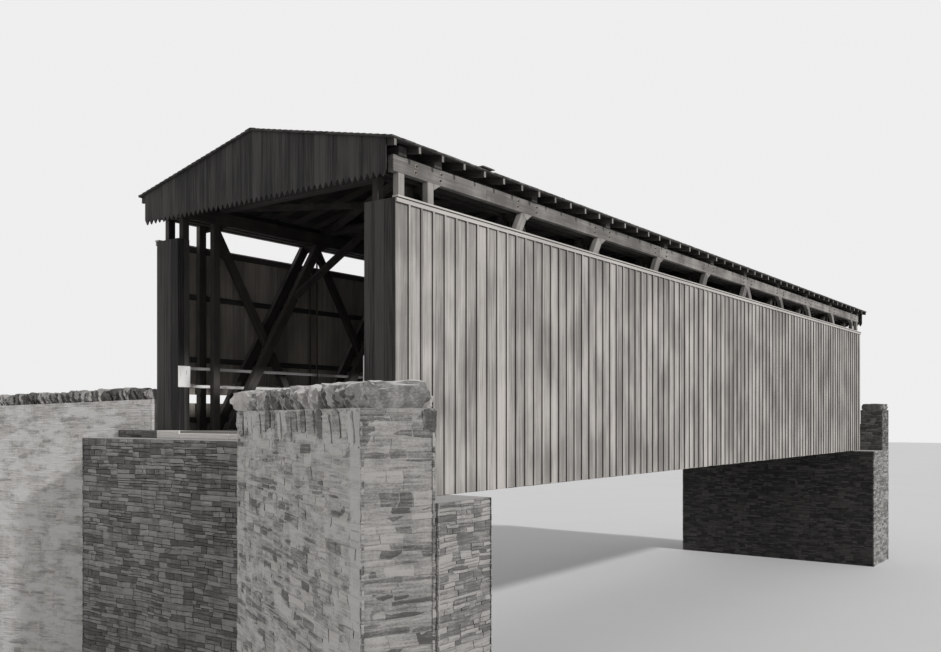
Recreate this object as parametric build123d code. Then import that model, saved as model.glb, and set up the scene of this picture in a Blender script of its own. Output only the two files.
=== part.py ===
# A timber covered bridge on rubble stone abutments: two Howe trusses, board siding and a shingled roof.
# Lengths are millimetres. X runs along the bridge from the front portal, Y across it from its centre
# line and Z up from the top of the deck. The right side is at negative Y, seen when entering at the front.
from build123d import *
import math
import os

# Overall frame
panel_length = 3050
panel_count = 9
end_bay = 915
bridge_width = 6350

# Trusses: three leaves of timber with a gap for an iron rod on each side of the middle one
leaf_width = 130
leaf_gap = 95
bottom_chord_height = 300
top_chord_height = 270
chord_spacing = 4620
main_brace_depth = 200
counter_brace_depth = 160
block_face = 220
angle_passes = 8
end_post_depth = 160
end_post_setback = 900
portal_post_depth = 150
portal_post_setback = 150
rod_diameter = 38
rod_sides = 8
rod_play = 0.3
rod_block_play = 6
rod_plate_length = 260
rod_plate_overlap = 90
rod_plate_thickness = 20
rod_nut_across = 75
rod_nut_height = 30
rod_end = 20
rod_notch_play = 10

# Floor
deck_thickness = 80
deck_edge_gap = 8
floor_beam_height = 320
floor_beam_width = 150
floor_beams_in_panel = 3
bolster_height = 200
bolster_length = 1950
bed_timber_height = 180
bed_timber_width = 260
bed_timber_count = 3
bottom_lateral_width = 120
bottom_lateral_height = 120
bottom_lateral_drop = 60

# Tie beams, laterals and knee braces under the roof
tie_height = 160
tie_width = 200
tie_offset = 235
tie_overhang = 30
top_lateral_width = 110
top_lateral_height = 110
knee_foot_level = 3000
knee_reach = 1200
knee_width = 150

# Roof
eave_rise = 194
roof_rise = 728
eave_overhang = 194
covering_thickness = 50
rafter_depth = 125
rafter_width = 60
rafter_spacing = 610
rafter_tail_setback = 25
gable_overhang = 260
verge_overhang = 40
gable_board = 28
gable_side_reach = 15
gable_drop = 155
gable_tooth_pitch = 132
gable_tooth_depth = 105
gable_cleat_height = 100
gable_cleat_depth = 45
gable_cleat_rise = 120

# Siding
siding_board = 25
girt_depth = 44
girt_height = 110
eave_gap = 435
girt_levels = (150, 1400, 2700)
cap_board = 28
cap_board_height = 80
cap_ledge = 30
cap_ledge_overhang = 20
slot_start = 350
slot_length = 1450
slot_bottom = 550
slot_height = 180

# Portals
portal_panel_width = 690
portal_return_depth = 280
portal_board = 25
portal_rail_height = 110
portal_rail_levels = (250, 1900, 3560)
sill_length = 320
sill_height = 150
top_rail_level = 1210
low_rail_level = 850
rail_height = 60
rail_thickness = 45
rail_rod_clearance = 20
rail_end_board = 20

# Masonry
foot_depth = 5670
seat_depth = 1450
backwall_thickness = 1100
abutment_shoulder = 870
parapet_thickness = 750
right_wing_approach = 3200
right_wing_out_x = 1990
right_wing_out_y = 4110
right_wing_top = 610
left_wing_length = 6600
left_wing_thickness = 650
left_wing_angle = 14.4
left_wing_start_top = 900
left_wing_end_top = 720
left_wing_corner_gap = 60
stub_top = 860
stub_thickness = 870
coping_height = 280

# Levels and lines that follow from the sizes above
bridge_length = panel_count * panel_length + 2 * end_bay
half_width = bridge_width / 2
beam_top = -deck_thickness
bottom_chord_top = beam_top - floor_beam_height
bottom_chord_base = bottom_chord_top - bottom_chord_height
bolster_base = bottom_chord_base - bolster_height
seat_level = bolster_base - bed_timber_height
top_chord_base = bottom_chord_top + chord_spacing
top_chord_top = top_chord_base + top_chord_height
siding_top = top_chord_base - eave_gap
siding_inner = half_width - siding_board
truss_outer = siding_inner - girt_depth
leaf_pitch = leaf_width + leaf_gap
truss_inner = truss_outer - 2 * leaf_pitch - leaf_width
eave_line = half_width + eave_overhang
eave_level = top_chord_top + eave_rise
ridge_level = eave_level + roof_rise
roof_slope = roof_rise / eave_line
slope_stretch = math.hypot(1, roof_slope)
covering_drop = covering_thickness * slope_stretch
rafter_drop = covering_drop + rafter_depth * slope_stretch
gable_face = -gable_overhang
gable_reach = half_width + gable_side_reach
verge_line = gable_face - verge_overhang
masonry_foot = -foot_depth

RIGHT = -1
LEFT = 1
SIDES = {"right": RIGHT, "left": LEFT}


# Building blocks
def block(x_range, y_range, z_range):
    """A timber or slab between two values on each axis."""
    spans = [sorted(r) for r in (x_range, y_range, z_range)]
    size = [high - low for low, high in spans]
    middle = [(high + low) / 2 for low, high in spans]
    return Pos(*middle) * Box(*size)


def prism(points, run):
    """A flat outline of 3-D points, extruded along the vector run."""
    run = Vector(*run)
    return extrude(make_face(Polyline(*points, close=True)), amount=run.length, dir=run.normalized())


def side_prism(side, outline, y_low, y_high):
    """An outline in X and Z, extruded across the bridge on one side."""
    points = [(x, side * y_low, z) for x, z in outline]
    return prism(points, (0, side * (y_high - y_low), 0))


def plan_prism(outline, z_low, z_high):
    """An outline in plan, extruded upward."""
    return prism([(x, y, z_low) for x, y in outline], (0, 0, z_high - z_low))


def cross_prism(outline, x_low, x_high):
    """An outline in Y and Z, extruded along the bridge."""
    return prism([(x_low, y, z) for y, z in outline], (x_high - x_low, 0, 0))


def at_back(shape):
    """The same piece at the back end of the bridge."""
    return mirror(shape, Plane.YZ.offset(bridge_length / 2))


def both_ends(shapes):
    return shapes + [at_back(shape) for shape in shapes]


def leaf(index):
    """Low and high Y of a truss leaf, 0 being the outermost."""
    high = truss_outer - index * leaf_pitch
    return high - leaf_width, high


OUTER, MIDDLE, INNER = 0, 1, 2


# Truss geometry
def joint_x(index):
    return end_bay + index * panel_length


def panel_ends(index):
    """X where the braces of a panel meet their blocks, which stand against the end posts in end panels."""
    start = joint_x(index)
    end = joint_x(index + 1)
    if index == 0:
        start = end_post_setback + end_post_depth
    if index == panel_count - 1:
        end = bridge_length - end_post_setback - end_post_depth
    return start, end


def brace_angle(index):
    """Angle of the braces above level, at which they stand square on their angle blocks."""
    start, end = panel_ends(index)
    angle = math.atan2(chord_spacing, end - start)
    for _ in range(angle_passes):
        rise = chord_spacing - block_face * math.cos(angle)
        angle = math.atan2(rise, end - start - block_face * math.sin(angle))
    return angle


def brace_axis(index, rising):
    """Foot and head of a brace's centre line. A rising brace climbs toward the back."""
    start, end = panel_ends(index)
    angle = brace_angle(index)
    inset = block_face / 2 * math.sin(angle)
    lift = block_face / 2 * math.cos(angle)
    low, high = bottom_chord_top + lift, top_chord_base - lift
    if rising:
        return (start + inset, low), (end - inset, high)
    return (end - inset, low), (start + inset, high)


def brace(side, index, rising, leaf_index, depth):
    foot, head = brace_axis(index, rising)
    length = math.dist(foot, head)
    across_x = -(head[1] - foot[1]) / length * depth / 2
    across_z = (head[0] - foot[0]) / length * depth / 2
    outline = [(foot[0] + across_x, foot[1] + across_z), (foot[0] - across_x, foot[1] - across_z),
               (head[0] - across_x, head[1] - across_z), (head[0] + across_x, head[1] + across_z)]
    return side_prism(side, outline, *leaf(leaf_index))


def main_rises(index):
    """Main braces lean toward midspan, so those of the front half rise toward the back."""
    return index <= (panel_count - 1) / 2


def main_braces(side):
    return [brace(side, index, main_rises(index), leaf_index, main_brace_depth)
            for index in range(panel_count) for leaf_index in (OUTER, INNER)]


def counter_braces(side):
    return [brace(side, index, not main_rises(index), MIDDLE, counter_brace_depth)
            for index in range(panel_count)]


def half_angle_block(side, x, toward, index, base_level, up):
    """The half of an angle block that carries the braces of one panel."""
    angle = brace_angle(index)
    run = toward * block_face * math.sin(angle)
    rise = up * block_face * math.cos(angle)
    outline = [(x, base_level), (x + run, base_level), (x, base_level + rise)]
    return side_prism(side, outline, truss_inner, truss_outer)


def rod_lines(side):
    """Y of the two rods at a panel point, in the gaps between the leaves."""
    return [side * (leaf(index)[0] - leaf_gap / 2) for index in (OUTER, MIDDLE)]


def rod(x, y, across, low, high):
    """An upright bar with flat sides, which stands for a round one."""
    return Pos(x, y, low) * extrude(RegularPolygon(across / 2, rod_sides, major_radius=False), high - low)


def angle_blocks(side):
    blocks = []
    for base_level, up in ((bottom_chord_top, 1), (top_chord_base, -1)):
        blocks.append(half_angle_block(side, panel_ends(0)[0], 1, 0, base_level, up))
        for index in range(1, panel_count):
            x = joint_x(index)
            whole = half_angle_block(side, x, -1, index - 1, base_level, up)
            whole += half_angle_block(side, x, 1, index, base_level, up)
            for y in rod_lines(side):
                whole -= rod(x, y, rod_diameter + 2 * rod_block_play, base_level - block_face,
                             base_level + block_face)
            blocks.append(whole)
        last = panel_count - 1
        blocks.append(half_angle_block(side, panel_ends(last)[1], -1, last, base_level, up))
    return blocks


def truss_rods(side):
    """Iron rods in pairs. At each end a plate and square nuts hold both against the chord."""
    rods = []
    plate_y = [side * (leaf(MIDDLE)[0] - leaf_gap - rod_plate_overlap),
               side * (leaf(MIDDLE)[1] + leaf_gap + rod_plate_overlap)]
    seats = ((top_chord_top, 1), (bottom_chord_base, -1))
    reach = rod_plate_thickness + rod_nut_height + rod_end
    for index in range(1, panel_count):
        x = joint_x(index)
        for y in rod_lines(side):
            rods.append(rod(x, y, rod_diameter, bottom_chord_base - reach, top_chord_top + reach))
        for seat, outward in seats:
            plate_face = seat + outward * rod_plate_thickness
            nut_face = plate_face + outward * rod_nut_height
            plate = block((x - rod_plate_length / 2, x + rod_plate_length / 2), plate_y, (seat, plate_face))
            for y in rod_lines(side):
                plate += block((x - rod_nut_across / 2, x + rod_nut_across / 2),
                               (y - rod_nut_across / 2, y + rod_nut_across / 2), (plate_face, nut_face))
            for y in rod_lines(side):
                plate -= rod(x, y, rod_diameter + 2 * rod_play, min(seat, nut_face), max(seat, nut_face))
            rods.append(plate)
    return rods


def chord(side, base_level, top_level):
    """Three leaves side by side, between the portals' boards."""
    ends = (portal_board, bridge_length - portal_board)
    return [block(ends, [side * y for y in leaf(index)], (base_level, top_level))
            for index in (OUTER, MIDDLE, INNER)]


def end_posts(side):
    """Paired truss posts, and the lighter pair behind each portal panel."""
    posts = []
    for setback, depth in ((end_post_setback, end_post_depth), (portal_post_setback, portal_post_depth)):
        for index in (OUTER, INNER):
            posts.append(block((setback, setback + depth), [side * y for y in leaf(index)],
                               (bottom_chord_top, top_chord_base)))
    return both_ends(posts)


# Floor
def floor_beam_lines():
    """X of the floor beams, which keep clear of the angle blocks, and of one in each end bay."""
    lines = [joint_x(index) + panel_length * (step + 1) / (floor_beams_in_panel + 1)
             for index in range(panel_count) for step in range(floor_beams_in_panel)]
    end_line = (portal_post_setback + portal_post_depth + end_post_setback) / 2
    return [end_line] + lines + [bridge_length - end_line]


def floor_beams():
    return [block((x - floor_beam_width / 2, x + floor_beam_width / 2), (-truss_outer, truss_outer),
                  (bottom_chord_top, beam_top)) for x in floor_beam_lines()]


def deck_planks():
    edge = truss_inner - deck_edge_gap
    return [block((0, bridge_length), (-edge, edge), (beam_top, 0))]


def bolsters():
    """Timbers under each chord leaf group, reaching out past the seat."""
    return [block((portal_board, portal_board + bolster_length), (side * truss_inner, side * truss_outer),
                  (bolster_base, bottom_chord_base)) for side in SIDES.values()]


def bed_timbers():
    first = portal_board + bed_timber_width / 2
    last = seat_depth - bed_timber_width
    lines = [first + (last - first) * step / (bed_timber_count - 1) for step in range(bed_timber_count)]
    return [block((x - bed_timber_width / 2, x + bed_timber_width / 2), (-truss_outer, truss_outer),
                  (seat_level, bolster_base)) for x in lines]


def crossed_bars(start, end, y_reach, width, low, high):
    """Two level bars that cross in plan between two lines of X, fused where they cross."""
    stretch = width * math.hypot(end - start, 2 * y_reach) / (end - start) / 2
    bars = []
    for direction in (1, -1):
        y_start = -direction * (y_reach - stretch)
        y_end = direction * (y_reach - stretch)
        outline = [(start, y_start - stretch), (end, y_end - stretch),
                   (end, y_end + stretch), (start, y_start + stretch)]
        bars.append(plan_prism(outline, low, high))
    return bars[0] + bars[1]


def bottom_laterals():
    high = bottom_chord_top - bottom_lateral_drop
    return [crossed_bars(joint_x(index), joint_x(index + 1), truss_inner, bottom_lateral_width,
                         high - bottom_lateral_height, high) for index in range(panel_count)]


# Tie beams and what they carry
def tie_lines():
    """X of the tie beams: one at each portal post, and one beside each panel point, toward midspan."""
    front = [portal_post_setback + portal_post_depth / 2]
    front += [joint_x(index) + tie_offset for index in range((panel_count + 1) // 2)]
    return front + [bridge_length - x for x in reversed(front)]


def tie_beams():
    reach = truss_outer + tie_overhang
    return [block((x - tie_width / 2, x + tie_width / 2), (-reach, reach),
                  (top_chord_top, top_chord_top + tie_height)) for x in tie_lines()]


def top_laterals():
    lines = tie_lines()
    low = top_chord_top + (tie_height - top_lateral_height) / 2
    return [crossed_bars(start + tie_width / 2, end - tie_width / 2, truss_inner, top_lateral_width,
                         low, low + top_lateral_height)
            for start, end in zip(lines[1:-2], lines[2:-1])]


def knee_brace(side, index):
    """A brace from the inner main brace below a panel point up to the tie beam beside it."""
    foot, head = brace_axis(index, True)
    share = (knee_foot_level - foot[1]) / (head[1] - foot[1])
    foot_x = foot[0] + share * (head[0] - foot[0])
    tie_x = joint_x(index + 1) + tie_offset
    half = knee_width / 2
    angle = brace_angle(index)
    along = (half * math.cos(angle), half * math.sin(angle))
    across = (-half * math.sin(angle), half * math.cos(angle))
    corners = [(foot_x + a * along[0] + b * across[0], side * truss_inner,
                knee_foot_level + a * along[1] + b * across[1])
               for a, b in ((1, 1), (1, -1), (-1, -1), (-1, 1))]
    rise = top_chord_top - knee_foot_level
    run = Vector(tie_x - foot_x, -side * knee_reach, rise) * (1 + 2 * knee_width / rise)
    above = block((foot_x - knee_reach, tie_x + 2 * knee_reach), (-half_width, half_width),
                  (top_chord_top, top_chord_top + 2 * rise))
    return prism(corners, run) - above


def knee_braces(side):
    return both_ends([knee_brace(side, index) for index in range((panel_count - 1) // 2)])


# Roof
def roof_top(y):
    return ridge_level - roof_slope * abs(y)


def roof_slope_slab(side):
    outline = [(0, ridge_level), (side * eave_line, eave_level),
               (side * eave_line, eave_level - covering_drop), (0, ridge_level - covering_drop)]
    return [cross_prism(outline, verge_line, bridge_length - verge_line)]


def rafter_lines():
    first = gable_face + gable_board + rafter_width / 2
    last = bridge_length - first
    count = round((last - first) / rafter_spacing)
    return [first + (last - first) * step / count for step in range(count + 1)]


def rafters():
    """Pairs that meet at the ridge."""
    tail = eave_line - rafter_tail_setback
    top = ridge_level - covering_drop
    base = ridge_level - rafter_drop
    outline = [(-tail, roof_top(tail) - covering_drop), (0, top), (tail, roof_top(tail) - covering_drop),
               (tail, roof_top(tail) - rafter_drop), (0, base), (-tail, roof_top(tail) - rafter_drop)]
    return [cross_prism(outline, x - rafter_width / 2, x + rafter_width / 2) for x in rafter_lines()]


def rafter_plate(side):
    """Timbers on the middle leaf of the top chord, from tie beam to tie beam. They are bevelled to the rafters
    and notched over the rods' plates."""
    low, high = leaf(MIDDLE)
    outline = [(side * low, top_chord_top), (side * high, top_chord_top),
               (side * high, roof_top(high) - rafter_drop), (side * low, roof_top(low) - rafter_drop)]
    notch_reach = rod_plate_length / 2 + rod_notch_play
    notch_top = top_chord_top + rod_plate_thickness + rod_nut_height + rod_end + rod_notch_play
    notches = [block((joint_x(index) - notch_reach, joint_x(index) + notch_reach), (side * low, side * high),
                     (top_chord_top, notch_top)) for index in range(1, panel_count)]
    lines = tie_lines()
    plates = []
    for start, end in zip(lines, lines[1:]):
        plate = cross_prism(outline, start + tie_width / 2, end - tie_width / 2)
        for notch in notches:
            plate -= notch
        plates.append(plate)
    return plates


def gable_fascia():
    """Boards with pointed ends over the portal, and the cleat they are nailed to."""
    tip = top_chord_base - gable_drop
    notch = tip + gable_tooth_depth
    reach = gable_reach
    count = round(2 * reach / gable_tooth_pitch)
    pitch = 2 * reach / count
    outline = [(-reach, roof_top(reach) - covering_drop), (0, ridge_level - covering_drop),
               (reach, roof_top(reach) - covering_drop), (reach, notch)]
    for tooth in range(count):
        right = reach - tooth * pitch
        outline += [(right - pitch / 2, tip), (right - pitch, notch)]
    boards = cross_prism(outline, gable_face, gable_face + gable_board)
    cleat_low = notch + gable_cleat_rise
    cleat_reach = gable_reach - rafter_tail_setback
    cleat = block((gable_face + gable_board, gable_face + gable_board + gable_cleat_depth),
                  (-cleat_reach, cleat_reach), (cleat_low, cleat_low + gable_cleat_height))
    return [boards + cleat]


# Siding
def siding(side):
    boards = block((0, bridge_length), (side * siding_inner, side * half_width), (seat_level, siding_top))
    if side == LEFT:
        boards -= block((slot_start, slot_start + slot_length), (side * siding_inner, side * half_width),
                        (slot_bottom, slot_bottom + slot_height))
    return [boards]


def siding_girts(side):
    levels = [seat_level, *girt_levels, siding_top - girt_height]
    return [block((portal_board, bridge_length - portal_board), (side * truss_outer, side * siding_inner),
                  (level, level + girt_height)) for level in levels]


def siding_cap(side):
    """The trim along the top of the siding, with a ledge over the boards' ends."""
    face = half_width + cap_board
    outline = [(half_width, siding_top - cap_board_height), (face, siding_top - cap_board_height),
               (face, siding_top), (face + cap_ledge_overhang, siding_top),
               (face + cap_ledge_overhang, siding_top + cap_ledge), (truss_outer, siding_top + cap_ledge),
               (truss_outer, siding_top), (half_width, siding_top)]
    return [cross_prism([(side * y, z) for y, z in outline], 0, bridge_length)]


# Portals
def portal_panel(side):
    """Boards beside the roadway with their return, and the rails that tie them to the posts."""
    inner = half_width - portal_panel_width
    front = block((0, portal_board), (side * inner, side * siding_inner), (0, siding_top))
    panel = front + block((portal_board, portal_return_depth), (side * inner, side * truss_inner),
                          (0, siding_top))
    for level in portal_rail_levels:
        panel += block((portal_board, portal_post_setback), (side * truss_inner, side * truss_outer),
                       (level, level + portal_rail_height))
    return [panel]


def portal_sill():
    return [block((-sill_length, 0), (-half_width, half_width), (-sill_height, 0))]


def guard_rails(side):
    """Light rails on the outer side of the inner leaf, a length to each panel, clear of the rods.
    A board as deep as the pair stands at each end, on the return of the portal panel."""
    stop = rod_diameter / 2 + rail_rod_clearance
    joints = [joint_x(index) for index in range(1, panel_count)]
    starts = [portal_return_depth] + [x + stop for x in joints]
    ends = [x - stop for x in joints] + [bridge_length - portal_return_depth]
    inner = leaf(INNER)[1]
    outer = inner + rail_thickness
    rails = [block((start, end), (side * inner, side * outer), (level, level + rail_height))
             for start, end in zip(starts, ends) for level in (low_rail_level, top_rail_level)]
    face = half_width - portal_panel_width
    board = block((0, portal_return_depth), (side * (face - rail_end_board), side * face),
                  (low_rail_level, top_rail_level + rail_height))
    return rails + both_ends([board])


# Masonry
def abutment(right_shoulder, left_shoulder):
    """The block under the seat, and the wall behind it up to the sill. A shoulder beside that wall carries what
    stands beyond the bridge's width there."""
    shoulder = half_width + abutment_shoulder
    behind = (-backwall_thickness, 0)
    seat_block = block((0, seat_depth), (-shoulder, shoulder), (masonry_foot, seat_level))
    wall_foot = block(behind, (-half_width - right_shoulder, half_width + left_shoulder), (masonry_foot, seat_level))
    return seat_block + wall_foot + block(behind, (-half_width, half_width), (seat_level, -sill_height))


def left_shoulder_step():
    """The masonry beside the sill, between the portal's left corner and the left wing wall."""
    beside = (half_width, half_width + abutment_shoulder)
    wall = block((-backwall_thickness, 0), beside, (seat_level, -sill_height))
    return wall + block((-sill_length, 0), beside, (-sill_height, 0))


def right_wing_outline():
    """In plan: along the road, then outward, with the thickness on the far side from the road."""
    out = Vector(-right_wing_out_x, -right_wing_out_y)
    normal = Vector(-out.Y, out.X).normalized() * parapet_thickness
    bend_x = -right_wing_approach
    end = Vector(bend_x, -half_width) + out
    outer_end = end + normal
    bend_shift = parapet_thickness * math.tan(math.atan2(right_wing_out_y, right_wing_out_x) / 2)
    return [(0, -half_width), (bend_x, -half_width), (end.X, end.Y), (outer_end.X, outer_end.Y),
            (bend_x + bend_shift, -half_width - parapet_thickness), (0, -half_width - parapet_thickness)]


def left_wing_line():
    """Outward from the portal's left corner and slightly forward: its start, its end and its thickness in plan."""
    angle = math.radians(left_wing_angle)
    along = Vector(-math.sin(angle), math.cos(angle))
    start = Vector(-left_wing_corner_gap, half_width + left_wing_corner_gap)
    return start, start + along * left_wing_length, Vector(along.Y, -along.X) * left_wing_thickness


def left_wing_outline():
    start, end, across = left_wing_line()
    return [(p.X, p.Y) for p in (start, end, end + across, start + across)]


def left_wing_course(low_levels, high_levels):
    """The wing wall between two lines, each given by its level at the wall's start and at its end."""
    start, end, across = left_wing_line()
    points = [(start.X, start.Y, low_levels[0]), (end.X, end.Y, low_levels[1]),
              (end.X, end.Y, high_levels[1]), (start.X, start.Y, high_levels[0])]
    return prism(points, (across.X, across.Y, 0))


def stub_outline(side):
    inner, outer = side * half_width, side * (half_width + stub_thickness)
    return [(bridge_length, inner), (bridge_length + backwall_thickness, inner),
            (bridge_length + backwall_thickness, outer), (bridge_length, outer)]


def wall_and_coping(outline, low, top):
    """A wall and the course of upright stones along its top."""
    joint = top - coping_height
    return plan_prism(outline, low, joint), plan_prism(outline, joint, top)


front_abutment = abutment(0, abutment_shoulder) + left_shoulder_step()
back_abutment = at_back(abutment(abutment_shoulder, abutment_shoulder))
right_wing, right_wing_coping = wall_and_coping(right_wing_outline(), masonry_foot, right_wing_top)
left_wing_tops = (left_wing_start_top, left_wing_end_top)
left_wing_joints = [top - coping_height for top in left_wing_tops]
left_wing = left_wing_course((masonry_foot, masonry_foot), left_wing_joints)
left_wing_coping = left_wing_course(left_wing_joints, left_wing_tops)
right_stub, right_stub_coping = wall_and_coping(stub_outline(RIGHT), seat_level, stub_top)
left_stub, left_stub_coping = wall_and_coping(stub_outline(LEFT), seat_level, stub_top)

def both_sides(make):
    return make(RIGHT) + make(LEFT)


nodes = {
    "front_abutment": [front_abutment],
    "back_abutment": [back_abutment],
    "front_right_wing_wall": [right_wing - front_abutment],
    "front_left_wing_wall": [left_wing - front_abutment],
    "back_right_parapet": [right_stub],
    "back_left_parapet": [left_stub],
    "front_right_coping": [right_wing_coping],
    "front_left_coping": [left_wing_coping],
    "back_copings": [right_stub_coping, left_stub_coping],
    "front_sill": portal_sill(),
    "back_sill": [at_back(piece) for piece in portal_sill()],
    "bed_timbers": both_ends(bed_timbers()),
    "bolsters": both_ends(bolsters()),
    "bottom_laterals": bottom_laterals(),
    "floor_beams": floor_beams(),
    "deck_planks": deck_planks(),
    "end_posts": both_sides(end_posts),
    "angle_blocks": both_sides(angle_blocks),
    "truss_rods": both_sides(truss_rods),
    "tie_beams": tie_beams(),
    "top_laterals": top_laterals(),
    "knee_braces": both_sides(knee_braces),
    "rafter_plates": both_sides(rafter_plate),
    "rafters": rafters(),
    "front_gable_fascia": gable_fascia(),
    "back_gable_fascia": [at_back(piece) for piece in gable_fascia()],
    "siding_girts": both_sides(siding_girts),
    "siding_caps": both_sides(siding_cap),
    "guard_rails": both_sides(guard_rails),
}
for name, side in SIDES.items():
    nodes[f"{name}_bottom_chord"] = chord(side, bottom_chord_base, bottom_chord_top)
    nodes[f"{name}_top_chord"] = chord(side, top_chord_base, top_chord_top)
    nodes[f"{name}_main_braces"] = main_braces(side)
    nodes[f"{name}_counter_braces"] = counter_braces(side)
    nodes[f"{name}_roof_slope"] = roof_slope_slab(side)
    nodes[f"{name}_siding"] = siding(side)
    nodes[f"front_{name}_portal_panel"] = portal_panel(side)
    nodes[f"back_{name}_portal_panel"] = [at_back(piece) for piece in portal_panel(side)]

# The masonry reaches furthest in plan, so the middle of its outlines and its foot are the part's origin.
plan = right_wing_outline() + left_wing_outline() + stub_outline(RIGHT) + stub_outline(LEFT)
centre_x = (min(x for x, _ in plan) + max(x for x, _ in plan)) / 2
centre_y = (min(y for _, y in plan) + max(y for _, y in plan)) / 2
to_origin = Pos(-centre_x, -centre_y, foot_depth)

os.makedirs("parts", exist_ok=True)
for name, pieces in nodes.items():
    solids = [solid for piece in pieces for solid in (to_origin * piece).solids()]
    export_step(Compound(children=solids, label=name), f"parts/{name}.step")
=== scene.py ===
# %% [markdown]
# # A timber covered bridge
#
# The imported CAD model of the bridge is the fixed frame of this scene. It has every timber and wall at its
# real size and place. This file dresses it: boards, battens, shingles, stones and bolts become real geometry,
# and every surface gets a finish that is worked out by shader nodes.

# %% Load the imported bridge
import itertools
import math
import random

import bpy
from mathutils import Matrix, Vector, noise


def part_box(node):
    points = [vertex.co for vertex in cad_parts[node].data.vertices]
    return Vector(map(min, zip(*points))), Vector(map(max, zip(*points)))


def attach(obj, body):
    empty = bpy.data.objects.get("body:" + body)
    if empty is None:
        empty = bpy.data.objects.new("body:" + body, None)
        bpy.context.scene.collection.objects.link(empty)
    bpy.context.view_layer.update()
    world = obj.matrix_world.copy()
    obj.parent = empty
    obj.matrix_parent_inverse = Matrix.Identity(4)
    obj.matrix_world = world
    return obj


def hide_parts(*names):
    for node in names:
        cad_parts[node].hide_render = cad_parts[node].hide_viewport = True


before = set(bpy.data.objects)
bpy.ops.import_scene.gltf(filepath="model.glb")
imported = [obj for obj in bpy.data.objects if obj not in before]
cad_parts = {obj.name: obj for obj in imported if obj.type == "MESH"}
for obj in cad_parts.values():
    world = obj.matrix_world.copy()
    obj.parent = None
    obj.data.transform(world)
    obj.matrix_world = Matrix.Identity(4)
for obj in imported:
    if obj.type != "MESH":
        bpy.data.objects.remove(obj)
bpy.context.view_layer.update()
print("CAD nodes:", len(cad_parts))

# %% [markdown]
# ## The bridge's own axes
#
# It is easier to think in the bridge's axes than in the axes of the whole part. Here X runs from the front
# portal, Y from the centre line and Z from the top of the deck. The right side, which the sun lights, is at
# negative Y. All lengths are metres.

# %% Bridge axes
deck_low, deck_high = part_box("deck_planks")
ORIGIN = Vector((deck_low.x, (deck_low.y + deck_high.y) / 2, deck_high.z))
ALONG, ACROSS, UP = Vector((1, 0, 0)), Vector((0, 1, 0)), Vector((0, 0, 1))
RIGHT, LEFT = -1, 1
SIDE_NAMES = {RIGHT: "right", LEFT: "left"}


def box_of(node):
    """Lowest and highest corner of a CAD node, in the bridge's axes."""
    low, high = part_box(node)
    return low - ORIGIN, high - ORIGIN


LENGTH = box_of("deck_planks")[1].x
FOOT = box_of("front_abutment")[0].z
print("bridge length", round(LENGTH, 3), "masonry foot", round(FOOT, 3))

# %% [markdown]
# ## Piles of small pieces
#
# Boards and stones are many and alike, so they are collected in one joined mesh for each part of the bridge.
# Thousands of separate objects would be slow, and no two stones are equal enough to be instances. Each vertex
# also carries two values for the material: grain, its place in the board's own axes, so that the fibres always
# run along the timber, and tone, one random number for each board or stone.
#
# Random numbers and noise both start from a fixed seed, so that every run gives the same bridge.

# %% Seeds
random.seed(7)
noise.seed_set(7)


# %% A pile of pieces
class Pile:
    """Small closed bodies in one mesh, in the bridge's axes."""

    def __init__(self):
        self.points, self.faces, self.grain, self.tone = [], [], [], []

    def add(self, points, faces, tone, grain=None):
        first = len(self.points)
        self.points += [ORIGIN + p for p in points]
        self.faces += [[first + i for i in face] for face in faces]
        self.grain += grain or [(0.0, 0.0, 0.0)] * len(points)
        self.tone += [tone] * len(points)

    def piece(self, name, finish, slot, *replaced):
        """Makes the mesh, which rides on the bridge and stands for the CAD nodes that it replaces."""
        mesh = bpy.data.meshes.new(name)
        mesh.from_pydata(self.points, [], self.faces)
        grain = mesh.attributes.new("grain", "FLOAT_VECTOR", "POINT")
        grain.data.foreach_set("vector", [value for place in self.grain for value in place])
        tone = mesh.attributes.new("tone", "FLOAT", "POINT")
        tone.data.foreach_set("value", self.tone)
        mesh.materials.append(finish)
        piece = bpy.data.objects.new(name, mesh)
        bpy.context.scene.collection.objects.link(piece)
        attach(piece, "root")
        if replaced:
            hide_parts(*replaced)
        mesh.calc_loop_triangles()
        print(name, "triangles:", len(mesh.loop_triangles))


# %% Faces that look outward
def facing_out(faces, axes):
    """The faces of a body made along three axes, turned round where the axes are left-handed."""
    first, second, third = axes
    return [face[::-1] for face in faces] if first.cross(second).dot(third) < 0 else faces


def prism_faces(count):
    """Faces between two equal outlines of count points: the first end, the second end and the sides."""
    ends = [list(range(count))[::-1], [count + i for i in range(count)]]
    return ends + [[i, (i + 1) % count, count + (i + 1) % count, count + i] for i in range(count)]


# %% [markdown]
# ## Shader maths as Python
#
# A finish is easier to read as an expression than as a list of nodes. A Value wraps one output socket, and its
# operators add Math nodes. Every other node comes from Nodes.node, which takes the node's type, its settings
# and what goes into its sockets. The sky is a node tree too, and is made in the same way at the end.

# %% Values
def find_socket(sockets, key):
    """A socket by its index, or else by its identifier or name."""
    if isinstance(key, int):
        return sockets[key]
    return next(s for s in sockets if key in (s.identifier, s.name))


class Value:
    """One output of a shader node."""

    def __init__(self, nodes, socket):
        self.nodes, self.socket = nodes, socket

    def __add__(self, other):
        return self.nodes.math("ADD", self, other)

    def __mul__(self, other):
        return self.nodes.math("MULTIPLY", self, other)

    def __sub__(self, other):
        return self.nodes.math("SUBTRACT", self, other)

    def __rsub__(self, other):
        return self.nodes.math("SUBTRACT", other, self)

    def __abs__(self):
        return self.nodes.math("ABSOLUTE", self)

    __radd__ = __add__
    __rmul__ = __mul__


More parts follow.
